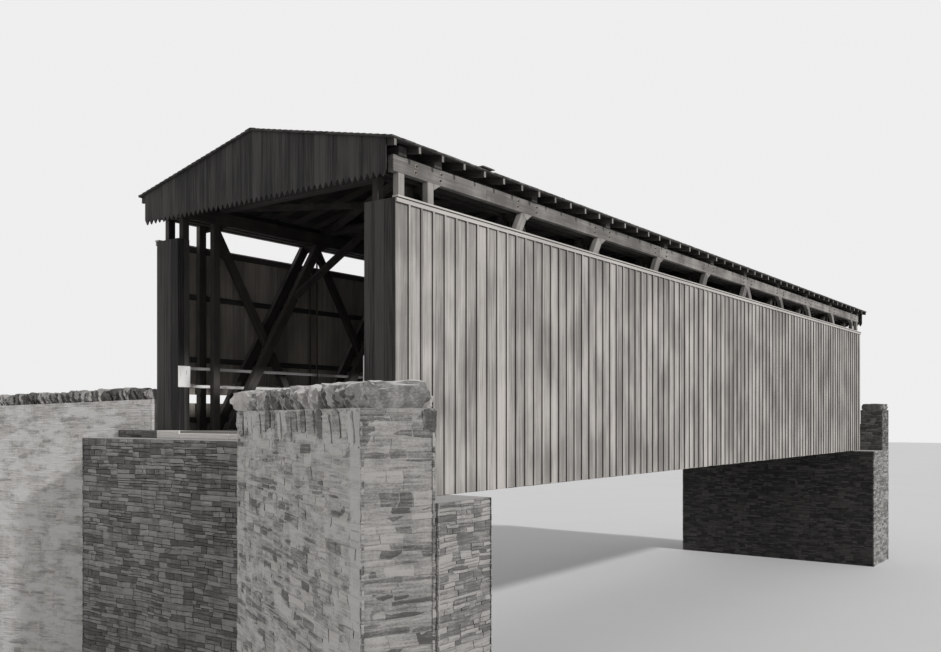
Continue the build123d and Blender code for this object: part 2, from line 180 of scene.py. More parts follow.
# %% Node trees
class Nodes:
    """A tree of shader nodes, and the steps that the finishes share."""

    def __init__(self, tree):
        self.tree = tree
        tree.nodes.clear()

    def node(self, kind, settings, sockets, out=0):
        """A new node. Its settings are set first, because they can change its sockets."""
        node = self.tree.nodes.new("ShaderNode" + kind)
        for key, value in settings.items():
            setattr(node, key, value)
        for key, value in sockets.items():
            socket = find_socket(node.inputs, key)
            if isinstance(value, Value):
                self.tree.links.new(value.socket, socket)
            else:
                socket.default_value = value
        if len(node.outputs):
            return Value(self, find_socket(node.outputs, out))

    def math(self, operation, *values):
        return self.node("Math", {"operation": operation}, dict(enumerate(values)))

    def attribute(self, name, out):
        return self.node("Attribute", {"attribute_name": name}, {}, out)

    def spot(self):
        """The place of a point in the scene."""
        return self.node("TexCoord", {}, {}, "Object")

    def coordinate(self, vector, axis):
        return self.node("SeparateXYZ", {}, {"Vector": vector}, axis)

    def looks_along(self, axis):
        """How much a face looks along an axis, from -1 to 1."""
        return self.coordinate(self.node("NewGeometry", {}, {}, "Normal"), axis)

    def scaled(self, place, scale):
        """A place stretched along its axes."""
        return self.node("VectorMath", {"operation": "MULTIPLY"}, {0: place, 1: scale})

    def clouds(self, place, scale, detail=3.0):
        """Soft noise about 0.5, of patches that are one unit over scale across."""
        scaled = self.scaled(place, scale)
        return self.node("TexNoise", {}, {"Vector": scaled, "Scale": 1.0, "Detail": detail}, "Fac")

    def ramp(self, value, low, high):
        """0 below low, 1 above high and smooth between."""
        return self.node("MapRange", {"interpolation_type": "SMOOTHSTEP"},
                         {"Value": value, "From Min": low, "From Max": high})

    def mix(self, share, first, second):
        """A colour between two colours."""
        return self.node("Mix", {"data_type": "RGBA"},
                         {"Factor_Float": share, "A_Color": first, "B_Color": second}, "Result_Color")


# %% Finishes
class Finish(Nodes):
    """A material made of one Principled shader and what varies over it."""

    def __init__(self, name):
        self.material = bpy.data.materials.new(name)
        self.material.use_nodes = True
        super().__init__(self.material.node_tree)

    def done(self, colour, roughness, height, depth, **constants):
        """Joins all to the shader: height is 0 to 1, and depth is how deep that is in metres."""
        bump = self.node("Bump", {}, {"Height": height, "Distance": depth, "Strength": 1.0}, "Normal")
        sockets = {"Base Color": colour, "Roughness": roughness, "Normal": bump, **constants}
        shader = self.node("BsdfPrincipled", {}, sockets)
        self.node("OutputMaterial", {}, {"Surface": shader})
        return self.material


def grey(level, warmth=0.06):
    """A nearly neutral colour, slightly warm, because the photograph has no colour."""
    return (level * (1 + warmth), level, level * (1 - warmth), 1.0)


# %% [markdown]
# ## Weathered wood
#
# The siding is bare softwood that has turned grey. Sun and rain open the fibres, so it has fine dark streaks
# along the board, a few checks, and each board has its own tone. A painted image would repeat, and it would have
# to be laid on thousands of boards. Noise in each board's own axes does neither, so one function makes every
# wood finish of the bridge, and only the tones and the way to find the place along the grain differ.
#
# Only wood that the weather reaches turns pale grey. Inside, the same timber has kept dark with age and dust. A
# second pair of tones gives the wood inside, and the distance from the bridge's centre line chooses: what lies
# further out than a given distance is exposed to weather and light. Where the inside pair is very dark, it is
# also painted shade, for the shade inside the bridge and under its eaves.

# %% Wood finishes
WOOD_BUMP = 0.0025
WEATHER_AND_LIGHT_EDGE = 0.008
# Tone of the painted shade that a mask lays on wood.
PAINTED_SHADE_TONE = 0.045


def wood(name, dark, light, streaks=0.5, stain=0.25, place=None, tones=0.3, roughness=0.85, inside=None,
         weather_and_light_from=0.0, painted_shade=None):
    """Wood with fibres along X of its place. Without a place, that and the tone of each board come from the
    pile's attributes. inside is the pair of tones of the wood inside, and weather_and_light_from the distance out
    at which weather and light reach it; a very dark inside pair is painted shade as well as aged wood.
    painted_shade is a function that gives a mask of painted shade from the finish and the place."""
    f = Finish(name)
    spot = f.spot()
    if place is None:
        grain, tone = f.attribute("grain", "Vector"), f.attribute("tone", "Fac")
    else:
        grain = place(f, spot)
        tone = f.clouds(grain, (0.15, 3.0, 3.0), 0.0)
    fibres = f.clouds(grain, (1.3, 55.0, 55.0), 4.0)
    bands = f.clouds(grain, (0.35, 9.0, 9.0), 3.0)
    blotches = f.clouds(spot, (1.2, 1.2, 0.7), 5.0)
    checks = f.ramp(f.clouds(grain, (0.8, 70.0, 70.0), 2.0), 0.66, 0.74)
    wear = (fibres - 0.5) * streaks + (bands - 0.5) * streaks + (tone - 0.5) * tones + (blotches - 0.5) * stain
    share = f.ramp(wear + 0.5, 0.15, 0.85)
    colour = f.mix(share, grey(dark), grey(light))
    # Inside the given distance the wood takes its inside tones; very dark ones are painted shade as well as aged
    # wood.
    if inside:
        from_centre_line = abs(f.coordinate(spot, "Y") - ORIGIN.y)
        exposed_and_lit = f.ramp(from_centre_line, weather_and_light_from, weather_and_light_from + WEATHER_AND_LIGHT_EDGE)
        inside_colour = f.mix(share, grey(inside[0], 0.10), grey(inside[1], 0.10))
        colour = f.mix(exposed_and_lit, inside_colour, colour)
    colour = f.mix(checks * 0.6, colour, grey(dark * 0.3))
    # Painted shade: the mask darkens the colour where shade falls.
    if painted_shade:
        colour = f.mix(painted_shade(f, spot), colour, grey(PAINTED_SHADE_TONE))
    height = fibres * 0.5 + bands * 0.5 - checks * 0.6
    return f.done(colour, (1 - share) * 0.1 + roughness, height, WOOD_BUMP)


def shade_on_upright_edges(f, spot):
    """The upright edges of the siding's boards and battens, which get painted shade."""
    return f.ramp(abs(f.looks_along("X")), 0.6, 0.9) * 0.85


# %% The bridge's woods
# The very dark inside tones here, and the sheltered and roof woods, are darker than aged wood alone: they also
# paint the shade inside the bridge, under the deck and under the roof.
SHELTERED_AND_SHADED = (0.018, 0.060)
SLOT_WEATHER_AND_LIGHT, SIDING_WEATHER, TAIL_WEATHER_AND_LIGHT = 2.99, 3.158, 3.334
# The siding's upright edges are darkened as painted shade of the battens' shaded sides.
siding_wood = wood("siding_wood", 0.18, 0.46, streaks=0.65, tones=0.28, stain=1.0, inside=(0.20, 0.42),
                   weather_and_light_from=SIDING_WEATHER, painted_shade=shade_on_upright_edges)
portal_wood = wood("portal_wood", 0.010, 0.054, streaks=1.3, tones=0.5, stain=0.6, roughness=0.8)
truss_wood = wood("truss_wood", 0.11, 0.34, tones=0.4, stain=1.2, inside=SHELTERED_AND_SHADED, weather_and_light_from=SLOT_WEATHER_AND_LIGHT)
shaded_sheltered_wood = wood("shaded_sheltered_wood", 0.022, 0.075, tones=0.4)
shaded_roof_wood = wood("shaded_roof_wood", 0.015, 0.050, tones=0.4)
tail_wood = wood("tail_wood", 0.14, 0.30, tones=0.6, inside=SHELTERED_AND_SHADED, weather_and_light_from=TAIL_WEATHER_AND_LIGHT)
deck_wood = wood("deck_wood", 0.13, 0.30, tones=0.7)
print("wood finishes:", [m.name for m in bpy.data.materials if m.name.endswith("_wood")])

# %% [markdown]
# ## Boards
#
# A sawn board isn't a perfect block: its edges are slightly rounded and it has warped a little. Each board is
# an eight-sided section swept along its length, with a small wander at each station. That is far lighter than a
# bevel modifier on thousands of objects, and the fibres' axes are known while it is made.

# %% One board
STATION_SPACING = 1.5


def add_board(pile, corner, axes, size, chamfer=0.005, wander=0.0, tone=None):
    """A board from one corner. axes are unit vectors along, across and out; size is in the same order."""
    along, across, out = axes
    length, width, depth = size
    c = min(chamfer, width / 3, depth / 3, length / 3)
    section = [(c, 0), (width - c, 0), (width, c), (width, depth - c),
               (width - c, depth), (c, depth), (0, depth - c), (0, c)]
    spans = max(1, round(length / STATION_SPACING)) if wander else 1
    stations = [(0, c), (c, 0)]
    stations += [(length * k / spans, 0) for k in range(1, spans)]
    stations += [(length - c, 0), (length, c)]
    shift = random.uniform(0, 60)
    tone = random.random() if tone is None else tone
    points, grain = [], []
    for s, inset in stations:
        drift = wander * noise.noise(Vector((s * 0.7 + shift, shift, 0)))
        for a, b in section:
            a = min(max(a, inset), width - inset)
            b = min(max(b, inset), depth - inset)
            points.append(corner + along * s + across * (a + drift) + out * (b + drift * 0.5))
            grain.append((s + shift, a + shift, b))
    count = len(section)
    faces = [[r * count + i, r * count + (i + 1) % count, (r + 1) * count + (i + 1) % count, (r + 1) * count + i]
             for r in range(len(stations) - 1) for i in range(count)]
    faces += [list(range(count))[::-1], [(len(stations) - 1) * count + i for i in range(count)]]
    pile.add(points, facing_out(faces, axes), tone, grain)


# %% [markdown]
# ## The timbers
#
# The CAD model has each timber as a plain block. Here every block of a node is found again from its corners,
# and a board of the same size takes its place, so nothing moves. The long chords were too long for one tree:
# each leaf is cut into lengths, with the joints staggered from leaf to leaf.

# %% Find the blocks of a CAD node
def loose_parts(node):
    """The corner points of each separate solid of a CAD node, in the bridge's axes."""
    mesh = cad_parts[node].data
    key = [tuple(round(value, 4) for value in v.co) for v in mesh.vertices]
    group = {k: k for k in key}

    def root(k):
        while group[k] != k:
            group[k] = group[group[k]]
            k = group[k]
        return k

    for face in mesh.polygons:
        first = root(key[face.vertices[0]])
        for i in face.vertices[1:]:
            group[root(key[i])] = first
    parts = {}
    for k in group:
        parts.setdefault(root(k), []).append(Vector(k) - ORIGIN)
    return [parts[k] for k in sorted(parts)]


def block_axes(points):
    """Corner, unit axes and sizes of a block with eight corners, longest axis first. The three edges at a corner
    are the shortest three ways to other corners that are square to each other."""
    corner, others = points[0], points[1:]
    best = None
    for trio in itertools.combinations([p - corner for p in others], 3):
        total = sum(run.length for run in trio)
        skew = max(abs(a.dot(b)) / (a.length * b.length) for a, b in itertools.combinations(trio, 2))
        if skew < 0.01 and (best is None or total < best[0]):
            best = (total, sorted(trio, key=lambda run: -run.length))
    runs = best[1]
    return corner, [run.normalized() for run in runs], [run.length for run in runs]


# %% Timbers in place of the blocks
STOCK_LENGTH = 7.4
SHORTEST_STOCK = 1.0
SPLICE_GAP = 0.003


def add_timbers(pile, node, stock=None, chamfer=0.008):
    """Boards in place of the blocks of a node, cut to stock lengths where the real timber is spliced."""
    for index, points in enumerate(loose_parts(node)):
        if len(points) != 8:
            continue
        corner, axes, size = block_axes(points)
        cuts = [0.0, size[0]]
        if stock:
            first = stock * (0.35 + 0.3 * (index % 3))
            splices = [first + stock * k for k in range(int(size[0] / stock) + 1)]
            cuts = [0.0] + [s for s in splices if s < size[0] - SHORTEST_STOCK] + [size[0]]
        for start, end in zip(cuts, cuts[1:]):
            gap = SPLICE_GAP if end < size[0] else 0.0
            add_board(pile, corner + axes[0] * start, axes, (end - start - gap, size[1], size[2]), chamfer)


TIMBER_PIECES = {
    "right_top_chord_timbers": (["right_top_chord"], STOCK_LENGTH, truss_wood),
    "left_top_chord_timbers": (["left_top_chord"], STOCK_LENGTH, truss_wood),
    "bottom_chord_timbers": (["right_bottom_chord", "left_bottom_chord"], STOCK_LENGTH, shaded_sheltered_wood),
    "right_truss_timbers": (["right_main_braces", "right_counter_braces"], None, truss_wood),
    "left_truss_timbers": (["left_main_braces", "left_counter_braces"], None, truss_wood),
    "post_timbers": (["end_posts"], None, truss_wood),
    "floor_timbers": (["floor_beams", "bolsters", "bed_timbers"], None, shaded_sheltered_wood),
    "tie_timbers": (["tie_beams"], None, shaded_sheltered_wood),
    "girt_timbers": (["siding_girts"], STOCK_LENGTH, shaded_sheltered_wood),
}
for name, (nodes, stock, finish) in TIMBER_PIECES.items():
    timbers = Pile()
    for node in nodes:
        add_timbers(timbers, node, stock)
    timbers.piece(name, finish, "truss_timber", *nodes)

# %% [markdown]
# ## Timbers that stay as they are
#
# The crossed laterals, knee braces, angle blocks and notched plates already have the right shape in CAD. They
# keep it and get the same wood. They have no attributes for the grain, so their finish takes it from the place
# in the scene, turned by a quarter where the fibres run across the bridge or upward.

# %% Wood on CAD nodes
def lengthwise(f, spot):
    return spot


def quarter_turn(axis):
    """A function that turns the place by a quarter about an axis."""
    def turned(f, spot):
        return f.node("VectorRotate", {"rotation_type": axis}, {"Vector": spot, "Angle": math.pi / 2})
    return turned


def dress(finish, *nodes):
    for node in nodes:
        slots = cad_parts[node].data.materials
        slots.clear()
        slots.append(finish)
    print(finish.name, "on", ", ".join(nodes))


def dress_wood(name, place, *nodes):
    dress(wood(name, 0.12, 0.34, place=place, tones=0.4, inside=SHELTERED_AND_SHADED, weather_and_light_from=SLOT_WEATHER_AND_LIGHT), *nodes)


dress_wood("lengthwise_wood", lengthwise, "rafter_plates", "top_laterals", "bottom_laterals")
dress_wood("crosswise_wood", quarter_turn("Z_AXIS"), "angle_blocks")
dress_wood("upright_wood", quarter_turn("Y_AXIS"), "knee_braces")

# %% [markdown]
# ## Cap of the siding
#
# A pale board with a ledge covers the upper ends of the siding. A line of painted shade lies under the ledge,
# and another along the board's lower edge. They are painted, and the height above the deck is enough to place
# them.

# %% Cap wood
CAP_LOW, CAP_HIGH = box_of("siding_caps")
LEDGE_THICKNESS, SHADE_LINE = 0.030, 0.016


def shade_under_ledge(f, spot):
    """A line of painted shade under the cap's ledge, and another along its lower edge."""
    level = f.coordinate(spot, "Z")
    ledge = ORIGIN.z + CAP_HIGH.z - LEDGE_THICKNESS
    foot = ORIGIN.z + CAP_LOW.z
    upper = f.ramp(level, ledge - SHADE_LINE, ledge - SHADE_LINE * 0.6) * f.ramp(level, ledge + 0.004, ledge)
    lower = f.ramp(level, foot + 0.008, foot + 0.004)
    return (upper + lower) * 0.9


# The cap gets painted shade under its ledge and along its lower edge.
dress(wood("cap_wood", 0.34, 0.54, place=lengthwise, tones=0.3, painted_shade=shade_under_ledge), "siding_caps")

# %% [markdown]
# ## Rods, nuts and plates
#
# The iron is dull and lightly rusted. Rust is rougher than the black iron, and both come from one noise.

# %% Iron
def iron(name, bare, rusty):
    f = Finish(name)
    spot = f.spot()
    rust = f.ramp(f.clouds(spot, (22.0, 22.0, 9.0), 5.0), 0.42, 0.62)
    colour = f.mix(rust, grey(bare), rusty)
    return f.done(colour, rust * 0.3 + 0.5, f.clouds(spot, (120.0, 120.0, 120.0)), 0.0008, Metallic=0.6)


dark_iron = iron("dark_iron", 0.06, (0.13, 0.09, 0.065, 1.0))
dress(dark_iron, "truss_rods")

# %% [markdown]
# ## Siding
#
# Vertical boards about 315 mm wide stand side by side, and a narrow batten covers each joint. Seen along the
# wall the battens turn their shaded edge to the viewer, which draws the thin dark lines. Lines in a texture
# would be as dark from the front as from along the wall, so boards and battens are real. Each joint is open by
# a few millimetres, and the lower ends are a little uneven.

# %% Boards and battens
SIDING_BOARD, BOARD_JOINT = 0.315, 0.005
BATTEN_WIDTH, BATTEN_DEPTH = 0.046, 0.031
SLOT_ALONG, SLOT_UP = (0.35, 1.80), (0.55, 0.73)
UNEVEN_BOARD, UNEVEN_BATTEN, UNEVEN_DEPTH = 0.012, 0.03, 0.004


def around_slot(side, x, bottom, top):
    """The range in height of a board at X, or the two ranges that the left siding's low slot leaves of it."""
    if side == LEFT and SLOT_ALONG[0] < x < SLOT_ALONG[1]:
        return [(bottom, SLOT_UP[0]), (SLOT_UP[1], top)]
    return [(bottom, top)]


def add_siding(side):
    name = SIDE_NAMES[side]
    low, high = box_of(f"{name}_siding")
    inner, face = (low.y, high.y) if side == LEFT else (high.y, low.y)
    depth = abs(face - inner)
    count = round((high.x - low.x) / SIDING_BOARD)
    pitch = (high.x - low.x) / count
    axes = (UP, ALONG, ACROSS * side)
    boards, battens = Pile(), Pile()
    for k in range(count):
        x = low.x + k * pitch
        tone = random.random()
        for bottom, top in around_slot(side, x + pitch / 2, low.z + random.uniform(0, UNEVEN_BOARD), high.z):
            size = (top - bottom, pitch - BOARD_JOINT, depth - random.uniform(0, UNEVEN_DEPTH))
            add_board(boards, Vector((x + BOARD_JOINT / 2, inner, bottom)), axes, size, 0.002, 0.0015, tone)
        if k == 0:
            continue
        for bottom, top in around_slot(side, x, low.z + random.uniform(0, UNEVEN_BATTEN), CAP_LOW.z):
            add_board(battens, Vector((x - BATTEN_WIDTH / 2, face, bottom)), axes,
                      (top - bottom, BATTEN_WIDTH, BATTEN_DEPTH), 0.002, 0.002)
    boards.piece(f"{name}_siding_boards", siding_wood, "siding_timber", f"{name}_siding")
    battens.piece(f"{name}_siding_battens", siding_wood, "siding_timber")


for side in SIDE_NAMES:
    add_siding(side)

# %% [markdown]
# ## Portal boards
#
# The portals are boarded with dark stained boards, and each panel has a return along the passage and three
# rails behind it. They are plain boards, so the same function makes them, laid out from the panel's edge at the
# passage.

# %% Portal panels
PANEL_BOARDS, RETURN_BOARDS = 3, 2
PANEL_THICKNESS, PANEL_START, PANEL_JOINT, POST_FACE = 0.025, 0.002, 0.007, 0.15
RAIL_LEVELS, RAIL_HEIGHT, RAIL_INSET, RAIL_CUT = (0.25, 1.9, 3.56), 0.11, 0.12, 0.14


def add_upright_boards(pile, start, along, out, width, height, count):
    """Boards side by side from one corner of a panel."""
    pitch = width / count
    for k in range(count):
        add_board(pile, start + along * (k * pitch + PANEL_START), (UP, along, out),
                  (height, pitch - PANEL_JOINT, PANEL_THICKNESS), 0.005, 0.0012)


def add_portal_panel(end, side):
    """The boards beside the passage, their return along it, and the rails between them."""
    node = f"{end}_{SIDE_NAMES[side]}_portal_panel"
    low, high = box_of(node)
    inward = ALONG if end == "front" else -ALONG
    outward = ACROSS * side
    face = low.x if end == "front" else high.x
    edge = high.y if side == RIGHT else low.y
    corner = Vector((face, edge, low.z))
    height, width, depth = high.z - low.z, high.y - low.y, high.x - low.x
    behind = PANEL_THICKNESS + 0.001
    boards = Pile()
    add_upright_boards(boards, corner, outward, inward, width, height, PANEL_BOARDS)
    add_upright_boards(boards, corner + inward * behind, inward, outward, depth - behind, height, RETURN_BOARDS)
    for level in RAIL_LEVELS:
        start = Vector((face, edge + side * RAIL_INSET, low.z + level)) + inward * PANEL_THICKNESS
        size = (width - RAIL_CUT, POST_FACE - PANEL_THICKNESS, RAIL_HEIGHT)
        add_board(boards, start, (outward, inward, UP), size)
    boards.piece(f"{end}_{SIDE_NAMES[side]}_portal_boards", portal_wood, "portal_timber", node)


for end in ("front", "back"):
    for side in SIDE_NAMES:
        add_portal_panel(end, side)

# %% [markdown]
# ## The gable
#
# The gable boards hang down over the passage and end in a row of points, two to a board. A flat outline pushed
# out by the board's thickness makes each of them, because the points are part of the outline. Cutting the
# points from a block with a boolean would be slower and leave worse faces.

# %% Flat outlines with a thickness
def add_slab(pile, outline, out, along):
    """A flat outline of points, pushed out along the vector out. The grain runs along the vector along."""
    shift, tone = random.uniform(0, 60), random.random()
    across = along.cross(out).normalized()
    points = list(outline) + [p + out for p in outline]
    grain = [(p.dot(along) + shift, p.dot(across) + shift, p.dot(out.normalized())) for p in points]
    n = len(outline)
    normal = sum(((outline[i] - outline[0]).cross(outline[i + 1] - outline[0]) for i in range(1, n - 1)), Vector())
    faces = prism_faces(n)
    if normal.dot(out) < 0:
        faces = [face[::-1] for face in faces]
    pile.add(points, faces, tone, grain)


# %% The roof's planes
COVER_THICKNESS = 0.050
ROOF_RISE = 0.728
ROOF_LOW, ROOF_HIGH = box_of("right_roof_slope")[0], box_of("left_roof_slope")[1]
HALF_EAVE, RIDGE = ROOF_HIGH.y, ROOF_HIGH.z
ROOF_SLOPE = ROOF_RISE / HALF_EAVE
STRETCH = math.hypot(1, ROOF_SLOPE)


def roof_level(y, below=0.0):
    """Level of the roof's top plane at Y, or of a plane that much under it, measured square to the roof."""
    return RIDGE - ROOF_SLOPE * abs(y) - below * STRETCH


print("roof slope", round(math.degrees(math.atan(ROOF_SLOPE)), 1), "degrees")

# %% Gable boards with pointed ends
GABLE_BOARD, GABLE_BOARD_WIDTH, GABLE_JOINT = 0.028, 0.264, 0.003
TOOTH_DEPTH, UNEVEN_TIP, UNEVEN_FACE = 0.105, 0.008, 0.004
CLEAT_RISE, CLEAT_HEIGHT, CLEAT_DEPTH, CLEAT_INSET = 0.12, 0.10, 0.045, 0.03


def add_gable(end):
    low, high = box_of(f"{end}_gable_fascia")
    outward = -ALONG if end == "front" else ALONG
    face = low.x if end == "front" else high.x
    tip, notch = low.z, low.z + TOOTH_DEPTH
    reach = high.y
    teeth_count = 2 * round(2 * reach / GABLE_BOARD_WIDTH)
    pitch = 2 * reach / teeth_count
    boards = Pile()
    for k in range(0, teeth_count, 2):
        left, right = -reach + k * pitch + GABLE_JOINT / 2, -reach + (k + 2) * pitch - GABLE_JOINT / 2
        middle = (left + right) / 2
        top = [(y, roof_level(y, COVER_THICKNESS)) for y in (right, 0, left) if y or left < 0 < right]
        drop = random.uniform(0, UNEVEN_TIP)
        teeth = [(left, notch), ((left + middle) / 2, tip + drop), (middle, notch),
                 ((middle + right) / 2, tip + drop), (right, notch)]
        setback = random.uniform(0, UNEVEN_FACE)
        outline = [Vector((face, y, z)) - outward * GABLE_BOARD for y, z in teeth + top]
        add_slab(boards, outline, outward * (GABLE_BOARD - setback), UP)
    cleat = Vector((face, -reach + CLEAT_INSET, notch + CLEAT_RISE)) - outward * GABLE_BOARD
    add_board(boards, cleat, (ACROSS, UP, -outward), (2 * (reach - CLEAT_INSET), CLEAT_HEIGHT, CLEAT_DEPTH))
    boards.piece(f"{end}_gable_boards", portal_wood, "portal_timber", f"{end}_gable_fascia")


for end in ("front", "back"):
    add_gable(end)

# %% [markdown]
# ## Roof
#
# Sheathing boards lie on the rafters, and wood shingles overlap on them in courses. Only the lower edge of the
# roof shows from below, where the butts of the first course make a ragged dark line. From above the whole
# slope shows, so every shingle is there: a thin wedge, thick at its lower end. A few butts near the front of
# the right eave have curled up.

# %% Shingle finish
def shingle_finish():
    f = Finish("shingle_wood")
    grain, tone = f.attribute("grain", "Vector"), f.attribute("tone", "Fac")
    fibres = f.clouds(grain, (3.0, 90.0, 90.0), 4.0)
    moss = f.ramp(f.clouds(f.spot(), (1.4, 1.4, 1.4), 6.0), 0.52, 0.7)
    share = f.ramp((tone - 0.5) * 0.9 + (fibres - 0.5) * 0.7 + 0.5, 0.0, 1.0)
    colour = f.mix(share, grey(0.040), grey(0.15))
    colour = f.mix(moss * 0.35, colour, (0.085, 0.095, 0.07, 1.0))
    return f.done(colour, 0.85, fibres, 0.003)


shingle_wood = shingle_finish()

# %% Lines of the roof
VERGE = ROOF_LOW.x
ROOF_LENGTH = ROOF_HIGH.x - ROOF_LOW.x
SLOPE_WIDTH = HALF_EAVE * STRETCH


def slope_axes(side):
    """Unit vectors up the slope and square to it, for one side of the roof."""
    up_slope = Vector((0, -side, ROOF_SLOPE)).normalized()
    out = Vector((0, side * ROOF_SLOPE, 1)).normalized()
    return up_slope, out


def eave_of(side):
    return Vector((VERGE, side * HALF_EAVE, roof_level(HALF_EAVE)))


print("slope width", round(SLOPE_WIDTH, 3), "roof length", round(ROOF_LENGTH, 3))

# %% Sheathing
SHEATHING, SHEATHING_ROWS, SHEATHING_SETBACK, SHEATHING_JOINT = 0.020, 16, 0.015, 0.006
SHEATHING_LENGTHS = (3.6, 4.9)


def add_sheathing(pile, side):
    up_slope, out = slope_axes(side)
    width = SLOPE_WIDTH / SHEATHING_ROWS
    for row in range(SHEATHING_ROWS):
        start = 0.0
        inset = 0.0 if row else SHEATHING_SETBACK
        while start < ROOF_LENGTH - 0.01:
            length = min(random.uniform(*SHEATHING_LENGTHS), ROOF_LENGTH - start)
            if ROOF_LENGTH - start - length < SHORTEST_STOCK:
                length = ROOF_LENGTH - start
            corner = eave_of(side) + ALONG * start + up_slope * (row * width + inset) - out * COVER_THICKNESS
            size = (length - SPLICE_GAP, width - SHEATHING_JOINT - inset, SHEATHING)
            add_board(pile, corner, (ALONG, up_slope, out), size, 0.002)
            start += length


# %% Shingles
SHINGLE_BUTT, SHINGLE_HEAD = 0.015, 0.004
EXPOSURE, SHINGLE_LENGTH, SHINGLE_LIFT = 0.145, 0.30, 0.010
SHINGLE_WIDTHS, SHINGLE_JOINT = (0.09, 0.19), 0.005
RAGGED_EAVE, RAGGED_COURSE = 0.022, 0.012
CURL, CURL_CHANCE, CURLED_ALONG = 0.045, 0.6, (2.35, 2.9)
RIDGE_BOARD, RIDGE_WIDTH, UNDER_RIDGE = 0.012, 0.137, 0.06


def add_shingles(pile, side):
    """Courses from the eave up, with a doubled first course, and a board along the ridge."""
    up_slope, out = slope_axes(side)
    for course in range(-1, math.ceil((SLOPE_WIDTH - UNDER_RIDGE) / EXPOSURE)):
        low = max(course, 0) * EXPOSURE
        lift = 0.0 if course < 0 else SHINGLE_LIFT
        x = 0.0
        while x < ROOF_LENGTH - 0.02:
            width = min(random.uniform(*SHINGLE_WIDTHS), ROOF_LENGTH - x)
            ragged = random.uniform(0.0, RAGGED_EAVE if course < 1 else RAGGED_COURSE)
            start = eave_of(side) + ALONG * x + up_slope * (low + ragged) - out * (COVER_THICKNESS - SHEATHING)
            reach = min(SHINGLE_LENGTH, SLOPE_WIDTH - low - ragged - 0.01)
            may_curl = side == RIGHT and course == 0 and CURLED_ALONG[0] < x < CURLED_ALONG[1]
            butt = lift + (CURL if may_curl and random.random() < CURL_CHANCE else 0.0)
            profile = [(0, butt), (reach, 0), (reach, SHINGLE_HEAD), (0, butt + SHINGLE_BUTT)]
            outline = [start + up_slope * s + out * t for s, t in profile]
            add_slab(pile, outline, ALONG * (width - SHINGLE_JOINT), up_slope)
            x += width
    ridge = Vector((VERGE, 0, RIDGE)) - up_slope * (RIDGE_WIDTH + 0.003) - out * RIDGE_BOARD
    add_board(pile, ridge, (ALONG, up_slope, out), (ROOF_LENGTH, RIDGE_WIDTH, RIDGE_BOARD), 0.003)


for side, name in SIDE_NAMES.items():
    sheathing, shingles = Pile(), Pile()
    add_sheathing(sheathing, side)
    add_shingles(shingles, side)
    sheathing.piece(f"{name}_sheathing", shaded_roof_wood, "truss_timber")
    shingles.piece(f"{name}_shingles", shingle_wood, "shingles", f"{name}_roof_slope")

# %% [markdown]
# ## Rafters
#
# Each pair of rafters meets at the ridge, and their ends show under the eave as a row of light ticks. They are
# outlines with upright ends, pushed out by the rafter's width. Beyond the wall each tapers a little.

# %% Rafters
RAFTER_DEPTH, RAFTER_WIDTH, RAFTER_SHIFT = 0.125, 0.054, 0.006
TAIL_DEPTH, TAIL_SETBACK, TAPER = 0.100, 0.025, 0.40


def add_rafters():
    tail = HALF_EAVE - TAIL_SETBACK
    span = [(0.0, COVER_THICKNESS), (tail, COVER_THICKNESS), (tail, COVER_THICKNESS + TAIL_DEPTH),
            (tail - TAPER, COVER_THICKNESS + RAFTER_DEPTH), (0.0, COVER_THICKNESS + RAFTER_DEPTH)]
    rafters = Pile()
    for x in sorted(min(p.x for p in part) for part in loose_parts("rafters")):
        for side in SIDE_NAMES:
            outline = [Vector((x + RAFTER_SHIFT, side * y, roof_level(y, below))) for y, below in span]
            add_slab(rafters, outline, ALONG * RAFTER_WIDTH, slope_axes(side)[0])
    rafters.piece("rafter_timbers", tail_wood, "truss_timber", "rafters")


add_rafters()

# %% [markdown]
# ## Deck
#
# The planks lie along the bridge on the floor beams. Logs give planks of about 5 m, so each row needs several,
# and the end joints are staggered from row to row. No plank is shorter than 1.2 m.

# %% Deck planks
PLANK_WIDTH, PLANK_GAP, SHORTEST_PLANK = 0.25, 0.006, 1.2
FIRST_LENGTHS, PLANK_LENGTHS = (2.0, 5.0), (4.2, 5.4)


def add_deck():
    low, high = box_of("deck_planks")
    count = round((high.y - low.y) / PLANK_WIDTH)
    pitch = (high.y - low.y) / count
    planks = Pile()
    for k in range(count):
        start, end = low.x, low.x + random.uniform(*FIRST_LENGTHS)
        while start < high.x - 0.01:
            if high.x - end < SHORTEST_PLANK:
                end = high.x
            size = (end - start - 0.004, pitch - PLANK_GAP, high.z - low.z - random.uniform(0, UNEVEN_DEPTH))
            corner = Vector((start, low.y + k * pitch + PLANK_GAP / 2, low.z))
            add_board(planks, corner, (ALONG, ACROSS, UP), size, 0.006)
            start, end = end, end + random.uniform(*PLANK_LENGTHS)
    planks.piece("deck_boards", deck_wood, "deck_timber", "deck_planks")


add_deck()

# %% [markdown]
# ## Painted rails
#
# The light rails keep their place in the trusses. Their paint has worn through to grey wood in spots and is
# dirty in patches. Worn spots follow the grain, and dirt doesn't, so each has its own noise.

# %% Rails
def rail_paint_finish():
    f = Finish("rail_paint")
    worn = f.ramp(f.clouds(f.attribute("grain", "Vector"), (3.0, 30.0, 30.0), 5.0), 0.60, 0.68)
    dirt = f.clouds(f.spot(), (3.0, 3.0, 3.0), 4.0)
    colour = f.mix(f.ramp(dirt, 0.35, 0.75) * 0.5, grey(0.90, 0.02), grey(0.70, 0.04))
    colour = f.mix(worn, colour, grey(0.40))
    return f.done(colour, worn * 0.3 + 0.55, 1 - worn, 0.001)


rails = Pile()
add_timbers(rails, "guard_rails", chamfer=0.005)
rails.piece("painted_rails", rail_paint_finish(), "rail_paint", "guard_rails")

